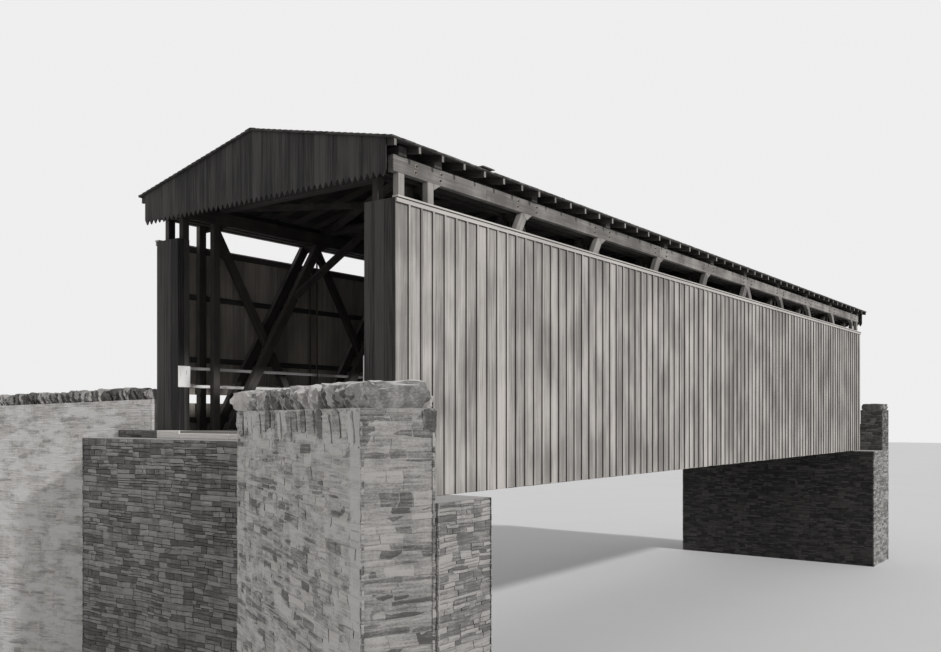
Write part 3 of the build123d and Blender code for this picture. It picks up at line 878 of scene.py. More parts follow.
# %% [markdown]
# ## Rubble masonry
#
# The walls are of flat split stone in thin, uneven courses. A picture of stones on a flat wall would look flat
# from near, and true displacement needs millions of faces. So each wall is a core of mortar, set back from the
# true face, with every stone laid on it as a small body with a rough front.
#
# The front wing walls were smeared over with lime mortar, more than once, until it lay nearly flush with the
# stones. So their core lies less deep, and the lower rims of the stones drown in it. Stone and mortar take the
# smears from the same noise, at the same places. On the sides that look to the right, sun and rain have washed
# them off, and there darker tones are painted shade, which tones down the sun on those sides. Faces that look
# up get a paler tone, a painted highlight. Under the span the stone is bare, damp and nearly black, and its
# near black also paints the shade under the bridge.

# %% Stone finish
FLAT_BED, UPRIGHT_BED = (3.0, 3.0, 42.0), (9.0, 9.0, 3.5)
STONE_BUMP = 0.012


def stone(name, dark, light, smears=0.0, smear_tone=0.5, contrast=0.8, bed=FLAT_BED, patch=None, washed_sun_side=None,
          damp_shaded_ends=None, lit_top_tone=None):
    """Split stone. smears is how much of it lies under lime mortar. patch is a place in plan and a radius where
    all of it does. washed_sun_side is the pair of tones on faces that look to the right, where the sun falls:
    darker tones as painted shade, without the smears. damp_shaded_ends is the pair on faces that look along the
    bridge, damp stone and painted shade, and lit_top_tone the tone of faces that look up, a painted highlight."""
    f = Finish(name)
    spot = f.spot()
    tone = f.attribute("tone", "Fac")
    layers = f.clouds(spot, bed, 5.0)
    grit = f.clouds(spot, (38.0, 38.0, 60.0), 6.0)
    drips = f.clouds(spot, (7.0, 7.0, 0.8), 3.0)
    damp = f.clouds(spot, (0.6, 0.6, 0.4), 4.0)
    share = f.ramp((tone - 0.5) * contrast + (layers - 0.5) * 1.1 + (grit - 0.5) * 0.7 + (damp - 0.5) * 0.6
                   + (drips - 0.5) * 0.5 + 0.5, 0.0, 1.0)
    colour = f.mix(share, grey(dark, 0.04), grey(light, 0.04))
    if smears:
        smear = f.ramp(f.clouds(spot, (1.7, 1.7, 4.5), 7.0) + (grit - 0.5) * 0.25, 0.66 - smears * 0.4,
                       0.82 - smears * 0.4)
        if patch:
            (x, y), radius = patch
            in_plan, centre = f.scaled(spot, (1, 1, 0)), (x + ORIGIN.x, y + ORIGIN.y, 0)
            away = f.node("VectorMath", {"operation": "DISTANCE"}, {0: in_plan, 1: centre}, "Value")
            smear = f.math("MAXIMUM", smear, f.ramp(away + (layers - 0.5) * 0.12, radius, radius - 0.05))
        colour = f.mix(smear * 0.8, colour, grey(smear_tone, 0.02))
    # Painted shade: faces that look to the right, where the sun falls, take darker tones.
    if washed_sun_side:
        rightward = f.ramp(f.looks_along("Y"), 0.0, -0.4)
        colour = f.mix(rightward, colour, f.mix(share, grey(washed_sun_side[0], 0.04), grey(washed_sun_side[1], 0.04)))
    # Damp stone and painted shade: faces that look along the bridge take a darker pair.
    if damp_shaded_ends:
        endward = f.ramp(abs(f.looks_along("X")), 0.5, 0.8)
        colour = f.mix(endward, colour, f.mix(share, grey(damp_shaded_ends[0]), grey(damp_shaded_ends[1])))
    # Painted highlight: faces that look up take a paler tone.
    if lit_top_tone:
        colour = f.mix(f.ramp(f.looks_along("Z"), 0.7, 0.95), colour, grey(lit_top_tone, 0.02))
    return f.done(colour, 0.92, layers * 0.6 + grit * 0.4, STONE_BUMP)


# %% The bridge's stones and mortars
WING_END = (-5.19, -7.285)
SMEARED_CORNER = (WING_END, 0.32)
rubble_stone = stone("rubble_stone", 0.14, 0.60, 0.42, 0.62, patch=SMEARED_CORNER, washed_sun_side=(0.07, 0.33))
rendered_stone = stone("rendered_stone", 0.28, 0.66, 0.55, 0.68, 0.5)
# The stone under the span is nearly black: damp stone, and painted shade under the bridge.
shaded_span_stone = stone("shaded_span_stone", 0.014, 0.070, contrast=0.9)
side_stone = stone("side_stone", 0.10, 0.34)
step_stone = stone("step_stone", 0.05, 0.20)
cap_stone = stone("cap_stone", 0.22, 0.62, 0.3, 0.60, bed=UPRIGHT_BED, washed_sun_side=(0.10, 0.42), lit_top_tone=0.58)
weathered_cap = stone("weathered_cap", 0.08, 0.34, contrast=1.1, bed=UPRIGHT_BED)
smeared_mortar = stone("smeared_mortar", 0.24, 0.62, 0.42, 0.64, 0.0, patch=SMEARED_CORNER, washed_sun_side=(0.13, 0.34))
pale_mortar = stone("pale_mortar", 0.32, 0.70, 0.55, 0.68, 0.0)
side_mortar = stone("side_mortar", 0.10, 0.26, contrast=0.0, damp_shaded_ends=(0.008, 0.035), lit_top_tone=0.42)
# Nearly black mortar: damp, and painted shade on walls out of the sun.
shaded_damp_mortar = stone("shaded_damp_mortar", 0.012, 0.05, contrast=0.0, lit_top_tone=0.42)
print("stone finishes:", [m.name for m in bpy.data.materials if m.name.endswith(("_stone", "_mortar", "_cap"))])

# %% [markdown]
# ## Cutting a wall face into stones
#
# A mason lays thin stones in rough bands and fills each band with what fits. The face is cut in the same way:
# into bands, the bands into cells, the cells into layers and the layers into stones. Plain rows of equal
# courses would look like brickwork.

# %% Ranges of the stones
BAND, LOWEST_BAND = (0.13, 0.27), 0.08
CELL, SHORTEST_CELL = (0.40, 1.30), 0.22
LAYER = (0.048, 0.115)
STONE_LENGTH = (0.17, 0.46)
CROWN_WIDTH = (0.11, 0.32)
CROWN_FOOT = (0.0, 0.0, 0.06, 0.10, 0.14)


def cut_range(low, high, count, spread=0.35):
    """A range cut into count uneven parts."""
    step = (high - low) / count
    inner = [low + step * (k + random.uniform(-spread, spread)) for k in range(1, count)]
    return list(zip([low] + inner, inner + [high]))


def upright_stones(length, low, high):
    """A row of stones set on edge, which ends a wall under its coping. Flat stones level up the short ones."""
    row, start = [], 0.0
    while start < length - 0.001:
        width = random.uniform(*CROWN_WIDTH)
        if length - start - width < CROWN_WIDTH[0]:
            width = length - start
        foot = low + random.choice(CROWN_FOOT)
        row.append((start, start + width, foot, high))
        if foot > low:
            row.append((start, start + width, low, foot))
        start += width
    return row


def stones_of_face(length, low, high, crown=0.0):
    """Ranges along and up the wall, one for each stone. crown is the height of the stones on edge at the top."""
    stones = upright_stones(length, high - crown, high) if crown else []
    high -= crown
    level = low
    while level < high - 0.001:
        band = random.uniform(*BAND)
        if high - level - band < LOWEST_BAND:
            band = high - level
        start = 0.0
        while start < length - 0.001:
            layers = max(1, round(band / random.uniform(*LAYER)))
            cell = random.uniform(*CELL) * (0.5 if layers == 1 else 1)
            if length - start - cell < SHORTEST_CELL:
                cell = length - start
            for z0, z1 in cut_range(level, level + band, layers, 0.28):
                count = max(1, round(cell / random.uniform(*STONE_LENGTH)))
                stones += [(s0, s1, z0, z1) for s0, s1 in cut_range(start, start + cell, count)]
            start += cell
        level += band
    return stones


# %% [markdown]
# ## Rounded stones
#
# The stones on edge are worn lumps. Each is the surface of a block as a small grid, pulled towards a ball and
# then roughened by noise. At the end it is stretched to fill exactly the room it has. A cube with modifiers that
# subdivide and displace it could look the same, but its size would be known only afterwards.

# %% One lump
def block_grid(count):
    """The surface of a block as a grid: its points from -1 to 1, and its faces."""
    index, faces = {}, []
    for axis in range(3):
        for end in (0, count):
            for i, j in itertools.product(range(count), repeat=2):
                quad = []
                for di, dj in ((0, 0), (1, 0), (1, 1), (0, 1)):
                    place = [0, 0, 0]
                    place[axis], place[(axis + 1) % 3], place[(axis + 2) % 3] = end, i + di, j + dj
                    quad.append(index.setdefault(tuple(place), len(index)))
                faces.append(quad if end else quad[::-1])
    return [Vector([2 * k / count - 1 for k in place]) for place in index], faces


def add_lump(pile, centre, axes, size, lean, boxy, count):
    """A worn stone that just fills a block of the given size. boxy is 1 for a block and 0 for a ball. The lean
    moves its top along the wall. count is the number of faces along each edge."""
    along, across, up = axes
    shift = Vector((random.uniform(0, 90), 0, 0))
    cube, faces = block_grid(count)
    worn = [(p.normalized() * 1.18).lerp(p, boxy) + noise.noise_vector(p * 1.1 + shift) * 0.26
            + noise.noise_vector(p * 2.6 + shift) * 0.14 for p in cube]
    low = [min(p[k] for p in worn) for k in range(3)]
    high = [max(p[k] for p in worn) for k in range(3)]
    points = []
    for p in worn:
        a, b, c = ((p[k] - low[k]) / (high[k] - low[k]) for k in range(3))
        points.append(centre + along * ((a - 0.5) * size[0] + lean * c * size[2]) + across * ((b - 0.5) * size[1])
                      + up * ((c - 0.5) * size[2]))
    pile.add(points, facing_out(faces, axes), random.random())


# %% [markdown]
# ## Flat stones
#
# A flat stone shows only its front, so it is an open tray: a grid of a few points just behind the wall's true
# face, and a rim that runs back into the mortar. Its edges waver and fall back, and each stone has a slight tilt
# and a setback of its own. A whole box for each would spend most of its faces where nobody sees them. A bend that
# is common to all stones of a face makes the courses wander.

# %% One stone
STONE_JOINT, STONE_BED = 0.004, 0.040
LEAST_SETBACK, MORE_SETBACK, TILT = 0.002, 0.014, 0.006
EDGE_WAVER, BED_WAVER, EDGE_FALL, FACE_WAVE = 0.012, 0.007, 0.007, 0.009


def add_stone(pile, corner, axes, span, bend, relief=1.0):
    """A stone with a rough front. corner is the wall face's start, axes run along, up and out. bend moves a
    point on the face, the same for all its stones, so that the courses wander and the joints waver. relief
    scales how rough the face is."""
    along, up, out = axes
    s0, s1, z0, z1 = span
    length, height = s1 - s0, z1 - z0
    columns = 3 if length < 0.4 else 4
    rows = 3 if height < 0.2 else 5
    setback = random.uniform(LEAST_SETBACK, LEAST_SETBACK + MORE_SETBACK * relief)
    tilt_s, tilt_z = (random.uniform(-TILT, TILT) * relief for _ in range(2))
    shift = random.uniform(0, 90)
    points = []
    for r, c in itertools.product(range(rows), range(columns)):
        u, v = c / (columns - 1), r / (rows - 1)
        border = r in (0, rows - 1) or c in (0, columns - 1)
        wave = noise.noise(Vector((u * 3 + shift, v * 3, shift)))
        inset_u = STONE_JOINT + (EDGE_WAVER * abs(noise.noise(Vector((v * 4, shift, 3.0)))) if border else 0)
        inset_v = STONE_JOINT + (BED_WAVER * abs(noise.noise(Vector((u * 4, shift, 7.0)))) if border else 0)
        s, z = bend(s0 + inset_u + u * (length - 2 * inset_u), z0 + inset_v + v * (height - 2 * inset_v))
        roughness = relief * ((EDGE_FALL if border else 0) - FACE_WAVE * wave)
        depth = setback + tilt_s * (u - 0.5) + tilt_z * (v - 0.5) + roughness
        points.append(corner + along * s + up * z - out * max(depth, 0.0))
    faces = [[r * columns + c, r * columns + c + 1, (r + 1) * columns + c + 1, (r + 1) * columns + c]
             for r in range(rows - 1) for c in range(columns - 1)]
    rim = list(range(columns)) + [r * columns + columns - 1 for r in range(1, rows)]
    rim += [(rows - 1) * columns + c for c in range(columns - 2, -1, -1)]
    rim += [r * columns for r in range(rows - 2, 0, -1)]
    back, n = len(points), len(rim)
    points += [points[i] - out * (STONE_BED + (points[i] - corner).dot(out)) for i in rim]
    faces += [[rim[(k + 1) % n], rim[k], back + k, back + (k + 1) % n] for k in range(n)]
    pile.add(points, facing_out(faces, axes), random.random())


# %% The stones of one face
CROWN_DEPTH, CROWN_PROUD, CROWN_BOXY, CROWN_GRID = 0.16, 0.012, 0.75, 5
CALM_EDGE = 0.2


def add_rubble(pile, start, end, low, high, top_at=None, crown=0.0, relief=1.0):
    """Stones on the upright face between two points in plan. The wall's outside is to the right of the way from
    start to end. top_at gives the level of a sloping top at a distance along it, and crown the height of the
    zone at the top that has stones on edge."""
    run = Vector((end[0] - start[0], end[1] - start[1], 0))
    along = run.normalized()
    out = along.cross(UP)
    corner = Vector((start[0], start[1], 0))
    shift = random.uniform(0, 90)
    length = run.length

    def bend(s, z):
        nearest_edge = min(z - low, high - z, s, length - s)
        free = max(0.0, min(1.0, nearest_edge / CALM_EDGE))
        wander = 0.040 * noise.noise(Vector((s * 0.8, z * 1.6, shift)))
        waver = 0.016 * noise.noise(Vector((s * 5, z * 5, shift + 5)))
        slip = 0.045 * noise.noise(Vector((s * 4, z * 9, shift + 9)))
        return s + free * slip, z + free * (wander + waver)

    for s0, s1, z0, z1 in stones_of_face(length, low, high, crown):
        if top_at:
            top = top_at((s0 + s1) / 2)
            if z0 > top - 0.04:
                continue
            z1 = min(z1, top)
        if crown and z1 == high:
            middle = corner + along * ((s0 + s1) / 2) + UP * ((z0 + z1) / 2) + out * (CROWN_PROUD - CROWN_DEPTH / 2)
            size = (s1 - s0, CROWN_DEPTH - random.uniform(0.0, 0.012), (z1 - z0) * 1.04)
            add_lump(pile, middle, (along, out, UP), size, random.uniform(-0.3, 0.0), CROWN_BOXY, CROWN_GRID)
        else:
            add_stone(pile, corner, (along, UP, out), (s0, s1, z0, z1), bend, relief)


# %% [markdown]
# ## Mortar cores
#
# The core is one solid with the wall's outline, moved inward on every edge. The stones reach into it, and where
# it lies less deep it drowns their rims.

# %% One core
def inset_outline(outline, distance):
    """An outline in plan, counter-clockwise, moved inward on every edge."""
    points = []
    count = len(outline)
    for i in range(count):
        a, b, c = (Vector(outline[(i + k) % count]) for k in (-1, 0, 1))
        first, second = (b - a).normalized(), (c - b).normalized()
        n1, n2 = Vector((-first.y, first.x)), Vector((-second.y, second.x))
        bisector = (n1 + n2) / (1 + n1.dot(n2))
        points.append(b + bisector * distance)
    return points


def add_core(pile, outline, low, tops, inset):
    """A solid of mortar over an outline in plan, set back from it, with a level for each of its top corners."""
    inner = inset_outline(outline, inset)
    points = [Vector((p.x, p.y, low)) for p in inner]
    points += [Vector((p.x, p.y, top)) for p, top in zip(inner, tops)]
    pile.add(points, prism_faces(len(inner)), 0.5)


# %% One wall
def add_wall(core, stones, outline, low, tops, crown=0.0, faces=None, inset=0.028, relief=1.0):
    """A core and its stones. tops is one level, or one for each corner of the outline. faces are the numbers of
    the outline's edges that get stones, without it all of them."""
    levels = tops if isinstance(tops, list) else [tops] * len(outline)
    if core:
        add_core(core, outline, low, levels, inset)
    count = len(outline)
    for i in range(count):
        if faces and i not in faces:
            continue
        a, b = outline[i], outline[(i + 1) % count]
        length = math.dist(a, b)
        z0, z1 = levels[i], levels[(i + 1) % count]

        def top_at(s, z0=z0, z1=z1, length=length):
            return z0 + (z1 - z0) * s / length

        add_rubble(stones, a, b, low, max(z0, z1), top_at if z0 != z1 else None, crown, relief)


# %% [markdown]
# ## The walls in plan
#
# The same outlines as in CAD give the walls in plan, counter-clockwise. The edges of an outline are numbered from
# its first point, so that one wall can have different stones on different sides.

# %% Sizes of the masonry
HALF_WIDTH = 3.175
SHOULDER = HALF_WIDTH + 0.87
SEAT, SEAT_DEPTH, BACKWALL, SILL_DEPTH = -1.08, 1.45, 1.1, 0.32
SILL_UNDER = box_of("front_sill")[0].z
COPING = 0.28
WING_THICKNESS, WING_TOP, WING_CROWN = 0.75, 0.61, 0.36
WING_APPROACH, WING_OUT_X, WING_OUT_Y = 3.2, 1.99, 4.11
LEFT_THICKNESS, LEFT_LENGTH, LEFT_ANGLE, LEFT_GAP = 0.65, 6.6, 14.4, 0.06
LEFT_START_TOP, LEFT_END_TOP = 0.90, 0.72
PARAPET_TOP = 0.86


# %% Outlines
def rectangle(x_low, x_high, y_low, y_high):
    return [(x_low, y_low), (x_high, y_low), (x_high, y_high), (x_low, y_high)]


def mirrored_x(outline):
    """The outline at the back end of the bridge, still counter-clockwise."""
    return [(LENGTH - x, y) for x, y in outline][::-1]


def parapet(side):
    return rectangle(LENGTH, LENGTH + BACKWALL, *sorted((side * HALF_WIDTH, side * SHOULDER)))


wing_normal = Vector((WING_OUT_Y, -WING_OUT_X)).normalized() * WING_THICKNESS
wing_elbow = -WING_APPROACH + WING_THICKNESS * math.tan(math.atan2(WING_OUT_Y, WING_OUT_X) / 2)
RIGHT_WING = [(0, -HALF_WIDTH), (-WING_APPROACH, -HALF_WIDTH), WING_END, tuple(Vector(WING_END) + wing_normal),
              (wing_elbow, -HALF_WIDTH - WING_THICKNESS), (0, -HALF_WIDTH - WING_THICKNESS)]
left_turn = math.radians(LEFT_ANGLE)
left_along = Vector((-math.sin(left_turn), math.cos(left_turn)))
left_normal = Vector((left_along.y, -left_along.x)) * LEFT_THICKNESS
left_start = Vector((-LEFT_GAP, HALF_WIDTH + LEFT_GAP))
left_end = left_start + left_along * LEFT_LENGTH
LEFT_WING = [tuple(p) for p in (left_start, left_start + left_normal, left_end + left_normal, left_end)]
LEFT_TOPS = [LEFT_START_TOP - COPING] * 2 + [LEFT_END_TOP - COPING] * 2
SEAT_BLOCK = [(-BACKWALL, -HALF_WIDTH), (0, -HALF_WIDTH), (0, -SHOULDER), (SEAT_DEPTH, -SHOULDER),
              (SEAT_DEPTH, SHOULDER), (-BACKWALL, SHOULDER)]
BACK_BLOCK = mirrored_x(rectangle(-BACKWALL, SEAT_DEPTH, -SHOULDER, SHOULDER))
BACK_WALL = rectangle(-BACKWALL, 0, -HALF_WIDTH, SHOULDER)
FAR_WALL = mirrored_x(rectangle(-BACKWALL, 0, -HALF_WIDTH, HALF_WIDTH))
STEP = rectangle(-SILL_DEPTH, 0, HALF_WIDTH, SHOULDER)
print("right wing ends at", WING_END, "left wing at", tuple(round(v, 3) for v in left_end))

# %% [markdown]
# ## Laying the walls
#
# Each kind of wall has a stone, a mortar, a depth of its mortar and a roughness. The abutments take two kinds:
# the face under the span is dark and damp, with painted shade, and the others are dry and grey. An outline that
# is listed twice gets its core once, and its stones in two ways.

# %% Kinds of masonry
SMEARED = (rubble_stone, smeared_mortar, 0.017, 1.0)
RENDERED = (rendered_stone, pale_mortar, 0.010, 0.6)
BARE = (side_stone, side_mortar, 0.028, 1.0)
UNDER_SPAN = (shaded_span_stone, side_mortar, 0.028, 1.0)
# The parapets' mortar is nearly black: damp, and painted shade.
DAMP_AND_SHADED = (step_stone, shaded_damp_mortar, 0.028, 1.0)
WALLS = [
    ("front_abutment", "inner", UNDER_SPAN, [(SEAT_BLOCK, FOOT, SEAT, 0.0, (3,))]),
    ("front_abutment", "outer", BARE, [(SEAT_BLOCK, FOOT, SEAT, 0.0, (0, 1, 2, 4, 5)),
                                       (BACK_WALL, SEAT, SILL_UNDER, 0.0, None)]),
    ("back_abutment", "inner", UNDER_SPAN, [(BACK_BLOCK, FOOT, SEAT, 0.0, (1,))]),
    ("back_abutment", "outer", BARE, [(BACK_BLOCK, FOOT, SEAT, 0.0, (0, 2, 3)),
                                      (FAR_WALL, SEAT, SILL_UNDER, 0.0, None)]),
    ("front_right_wing_wall", "rubble", SMEARED, [(RIGHT_WING, FOOT, WING_TOP - COPING, WING_CROWN, (0, 1, 3, 4)),
                                                  (RIGHT_WING, FOOT, WING_TOP - COPING, 0.0, (2, 5))]),
    ("front_left_wing_wall", "rubble", RENDERED, [(LEFT_WING, FOOT, LEFT_TOPS, 0.0, None)]),
    ("back_right_parapet", "rubble", DAMP_AND_SHADED, [(parapet(RIGHT), SEAT, PARAPET_TOP - COPING, 0.0, None)]),
    ("back_left_parapet", "rubble", DAMP_AND_SHADED, [(parapet(LEFT), SEAT, PARAPET_TOP - COPING, 0.0, None)]),
]

# %% Lay them
dressed, cored = set(), set()
for node, kind, (stone_finish, mortar_finish, inset, relief), blocks in WALLS:
    core, stones = Pile(), Pile()
    for outline, low, tops, crown, faces in blocks:
        has_core = (node, low) in cored
        add_wall(None if has_core else core, stones, outline, low, tops, crown, faces, inset, relief)
        cored.add((node, low))
    if core.faces:
        core.piece(f"{node}_{kind}_mortar", mortar_finish, "stone")
    stones.piece(f"{node}_{kind}_stones", stone_finish, "stone", *([] if node in dressed else [node]))
    dressed.add(node)

# %% [markdown]
# ## The step beside the front sill
#
# Between the front portal and the left wing wall a low step of the same dark stone ends level with the deck. One
# slab of it reaches in under the portal panel.

# %% Step
STEP_REACH = 0.45
step_core, step_stones = Pile(), Pile()
add_wall(step_core, step_stones, STEP, SILL_UNDER, 0.0)
add_board(step_core, Vector((-SILL_DEPTH, HALF_WIDTH - STEP_REACH, SILL_UNDER)), (ACROSS, UP, ALONG),
          (STEP_REACH + 0.05, -SILL_UNDER, SILL_DEPTH), 0.012)
step_core.piece("front_step_mortar", step_stone, "stone")
step_stones.piece("front_step_stones", step_stone, "stone")

# %% [markdown]
# ## Coping
#
# The walls are capped with rough stones set on edge, leaning against each other and uneven in height. They are
# the same lumps as above. The last one of each row has no neighbour to lean on, so it stands upright, and it is
# rounder.

# %% Stones on edge
SUNK = (0.02, 0.09)
COPING_BOXY, LAST_BOXY, COPING_GRID = 0.72, 0.5, 7
SHORTEST_COPING = 0.12


def add_coping(pile, start, end, thickness, top_start, top_end, lean, widths=(0.10, 0.26), uneven=0.025):
    """Upright stones along the middle of a wall's top, from one point in plan to another. uneven is how much
    lower than the top the lowest of them is."""
    run = Vector((end[0] - start[0], end[1] - start[1], 0))
    along = run.normalized()
    axes = (along, UP.cross(along), UP)
    s = 0.0
    while s < run.length - 0.05:
        width = random.uniform(*widths)
        if run.length - s - width < SHORTEST_COPING:
            width = run.length - s
        top = top_start + (top_end - top_start) * ((s + width / 2) / run.length)
        sunk = random.uniform(*SUNK)
        height = COPING - random.uniform(0.0, uneven) + sunk
        middle = Vector((start[0], start[1], top - COPING - sunk + height / 2)) + along * (s + width / 2)
        size = (width, thickness * random.uniform(0.96, 1.02), height)
        if s + width > run.length - 0.01:
            add_lump(pile, middle, axes, size, 0.0, LAST_BOXY, COPING_GRID)
        else:
            add_lump(pile, middle, axes, size, lean * random.uniform(0.7, 1.3), COPING_BOXY, COPING_GRID)
        s += width


def middle_line(a, b, normal, thickness):
    """Two plan points moved to the middle of a wall."""
    shift = Vector(normal).normalized() * thickness / 2
    return tuple(Vector(a) + shift), tuple(Vector(b) + shift)


# %% Lay the coping
RIGHT_LEAN, LEFT_LEAN, PARAPET_LEAN = -0.45, 0.3, 0.15
PAST_ELBOW = 0.15
right_coping, left_coping, back_coping = Pile(), Pile(), Pile()
a, b = middle_line((0.0, -HALF_WIDTH), (-WING_APPROACH - PAST_ELBOW, -HALF_WIDTH), (0, -1), WING_THICKNESS)
add_coping(right_coping, a, b, WING_THICKNESS, WING_TOP, WING_TOP, RIGHT_LEAN)
a, b = middle_line((-WING_APPROACH, -HALF_WIDTH), WING_END, wing_normal, WING_THICKNESS)
add_coping(right_coping, a, b, WING_THICKNESS, WING_TOP, WING_TOP, RIGHT_LEAN, (0.13, 0.32))
a, b = middle_line(left_start, left_end, left_normal, LEFT_THICKNESS)
add_coping(left_coping, a, b, LEFT_THICKNESS, LEFT_START_TOP, LEFT_END_TOP, LEFT_LEAN, (0.11, 0.22), 0.06)
for side in SIDE_NAMES:
    y = side * (HALF_WIDTH + SHOULDER) / 2
    add_coping(back_coping, (LENGTH, y), (LENGTH + BACKWALL, y), SHOULDER - HALF_WIDTH, PARAPET_TOP, PARAPET_TOP,
               PARAPET_LEAN)
right_coping.piece("front_right_coping_stones", cap_stone, "coping_stone", "front_right_coping")
left_coping.piece("front_left_coping_stones", weathered_cap, "coping_stone", "front_left_coping")
back_coping.piece("back_coping_stones", weathered_cap, "coping_stone", "back_copings")

# %% [markdown]
# ## Sills
#
# A pale strip of dressed stone closes each end of the deck. Its end blocks, under the portal panels, are as high
# as the deck. Between them the slabs are lower, and a worn plank on them leads onto the deck. Dressed stone has
# straight edges, so the board function makes it too.

# %% Sill slabs
sill_stone = stone("sill_stone", 0.66, 0.84, contrast=0.4)
END_BLOCK, SILL_PLANK, SLAB_COUNT = 0.72, 0.045, 3
SLAB_JOINT, SILL_PLANK_INSET, SILL_PLANK_PLAY = 0.006, 0.02, 0.004
SILL_AXES = (ACROSS, UP, ALONG)
for end in ("front", "back"):
    low, high = box_of(f"{end}_sill")
    depth, height = high.x - low.x, high.z - low.z
    slabs, plank = Pile(), Pile()
    left_end = high.y - (STEP_REACH if end == "front" else 0.0)
    middle = (low.y + END_BLOCK, left_end - END_BLOCK)
    blocks = [(low.y, middle[0], height), (middle[1], left_end, height)]
    blocks += [(y0, y1, height - SILL_PLANK) for y0, y1 in cut_range(*middle, SLAB_COUNT, 0.15)]
    for y0, y1, rise in blocks:
        corner = Vector((low.x, y0 + SLAB_JOINT / 2, low.z))
        add_board(slabs, corner, SILL_AXES, (y1 - y0 - SLAB_JOINT, rise, depth), 0.012)
    corner = Vector((low.x + SILL_PLANK_INSET, middle[0] + SILL_PLANK_PLAY, high.z - SILL_PLANK))
    length = left_end - low.y - 2 * END_BLOCK - 2 * SILL_PLANK_PLAY
    add_board(plank, corner, SILL_AXES, (length, SILL_PLANK, depth - SILL_PLANK_INSET), 0.006)
    slabs.piece(f"{end}_sill_slabs", sill_stone, "sill_stone", f"{end}_sill")
    plank.piece(f"{end}_sill_plank", deck_wood, "deck_timber")

# %% [markdown]
# ## Bolts in the top chords
#
# The three leaves of a chord are bolted together. On the weather side each bolt has a washer plate, which rust
# and rain have left paler than the wood, and a dark nut.

# %% Washer plates and nuts
PANEL, END_BAY, PANEL_POINTS = 3.05, 0.915, 10
BOLT_OFFSETS, BOLT_LEVELS, BOLT_SKEW = (-0.33, 0.33), (0.3, 0.7), 0.06
PLATE_RADIUS, PLATE_DEPTH = 0.043, 0.006
NUT_RADIUS, NUT_DEPTH = 0.021, 0.018


def add_disc(pile, centre, out, radius, depth, corners, turn):
    """A flat prism on a chord's face."""
    ring = []
    for k in range(corners):
        angle = turn + 2 * math.pi * k / corners
        ring.append(centre + ALONG * (radius * math.cos(angle)) + UP * (radius * math.sin(angle)))
    add_slab(pile, ring, out * depth, UP)


plates, nuts = Pile(), Pile()
for side, name in SIDE_NAMES.items():
    low, high = box_of(f"{name}_top_chord")
    face = high.y if side == LEFT else low.y
    out = ACROSS * side
    for panel, offset, level in itertools.product(range(PANEL_POINTS), BOLT_OFFSETS, BOLT_LEVELS):
        x = END_BAY + panel * PANEL + offset + BOLT_SKEW * (level - 0.5)
        if low.x + 0.1 < x < high.x - 0.1:
            centre = Vector((x, face, low.z + (high.z - low.z) * level))
            add_disc(plates, centre, out, PLATE_RADIUS, PLATE_DEPTH, 4, math.pi / 4)
            add_disc(nuts, centre + out * PLATE_DEPTH, out, NUT_RADIUS, NUT_DEPTH, 6, random.random())
pale_iron = iron("pale_iron", 0.42, (0.40, 0.35, 0.30, 1.0))
plates.piece("chord_washer_plates", pale_iron, "iron")
nuts.piece("chord_nuts", dark_iron, "iron")

# %% [markdown]
# ## Camera
#
# The camera stands in front of the bridge and to its right, just above the deck, and looks level. Its place,
# turn and lens come from fitting points of the bridge to the photograph.

# %% Camera
CAMERA_PLACE = Vector((-11.16, -12.904, 0.238))
CAMERA_TURN = math.radians(36.44)
camera = bpy.data.cameras.new("camera")
camera.lens = 35.27
camera.shift_y = 0.098
camera.clip_end = 500
camera_object = bpy.data.objects.new("camera", camera)
camera_object.location = ORIGIN + CAMERA_PLACE
camera_object.rotation_euler = (math.pi / 2, 0, CAMERA_TURN - math.pi / 2)
bpy.context.scene.collection.objects.link(camera_object)
bpy.context.scene.camera = camera_object
bpy.context.scene.view_settings.view_transform = "Standard"
print("camera at", tuple(round(v, 3) for v in camera_object.location))

# %% [markdown]
# ## Floor
#
# A wide pale floor at the masonry's foot takes the shadows. It is part of the stage and not of the bridge.

# %% Floor
FLOOR_REACH = 220


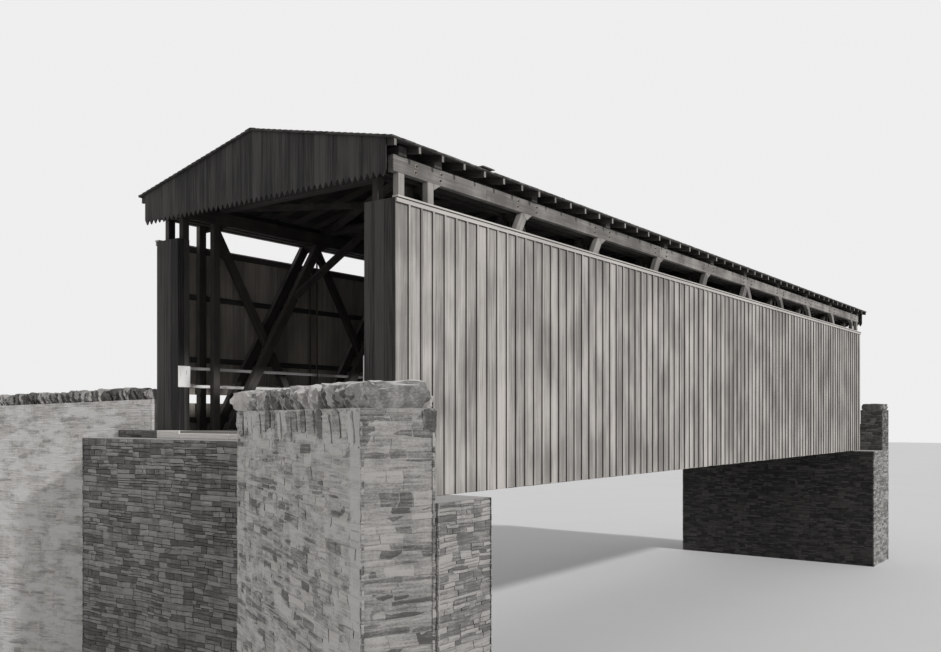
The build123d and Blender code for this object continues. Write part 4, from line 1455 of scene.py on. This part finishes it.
def floor_finish():
    f = Finish("pale_floor")
    cloudy = f.clouds(f.spot(), (0.2, 0.2, 0.2), 4.0)
    return f.done(f.mix(cloudy, grey(0.74, 0.0), grey(0.78, 0.0)), 0.9, cloudy, 0.001)


floor_mesh = bpy.data.meshes.new("floor")
corners = rectangle(-FLOOR_REACH, FLOOR_REACH, -FLOOR_REACH, FLOOR_REACH)
floor_mesh.from_pydata([(x, y, 0) for x, y in corners], [], [(0, 1, 2, 3)])
floor = bpy.data.objects.new("floor", floor_mesh)
floor_mesh.materials.append(floor_finish())
bpy.context.scene.collection.objects.link(floor)
print("floor reaches", FLOOR_REACH, "to each side")

# %% [markdown]
# ## Light
#
# One soft sun comes from the right, slightly from the front, and an even sky fills the shadows. The sky that is
# seen, also in reflections, is brighter than the sky that lights, so that the shadows keep their depth.

# %% Sun
SUN_FROM = Vector((-0.05, -0.98, 0.53))
sun = bpy.data.lights.new("sun", "SUN")
sun.energy = 2.2
sun.angle = math.radians(3)
sun_object = bpy.data.objects.new("sun", sun)
sun_object.rotation_euler = SUN_FROM.to_track_quat("Z", "Y").to_euler()
bpy.context.scene.collection.objects.link(sun_object)
print("sun height", round(math.degrees(math.asin(SUN_FROM.normalized().z)), 1), "degrees")

# %% Sky
world = bpy.data.worlds.new("sky")
bpy.context.scene.world = world
world.use_nodes = True
SKY_LIT, SKY_STRENGTH, SKY_SEEN = 0.95, 0.44, 0.86
sky = Nodes(world.node_tree)
camera_ray, glossy_ray, through_ray = (sky.node("LightPath", {}, {}, f"Is {kind} Ray")
                                       for kind in ("Camera", "Glossy", "Transmission"))
seen_ray = sky.math("MAXIMUM", sky.math("MAXIMUM", camera_ray, glossy_ray), through_ray)
lit = sky.node("Background", {}, {"Color": grey(SKY_LIT, 0.0), "Strength": SKY_STRENGTH})
seen = sky.node("Background", {}, {"Color": grey(SKY_SEEN, 0.0)})
sky.node("OutputWorld", {}, {"Surface": sky.node("MixShader", {}, {"Fac": seen_ray, 1: lit, 2: seen})})
print("sky nodes:", len(world.node_tree.nodes))
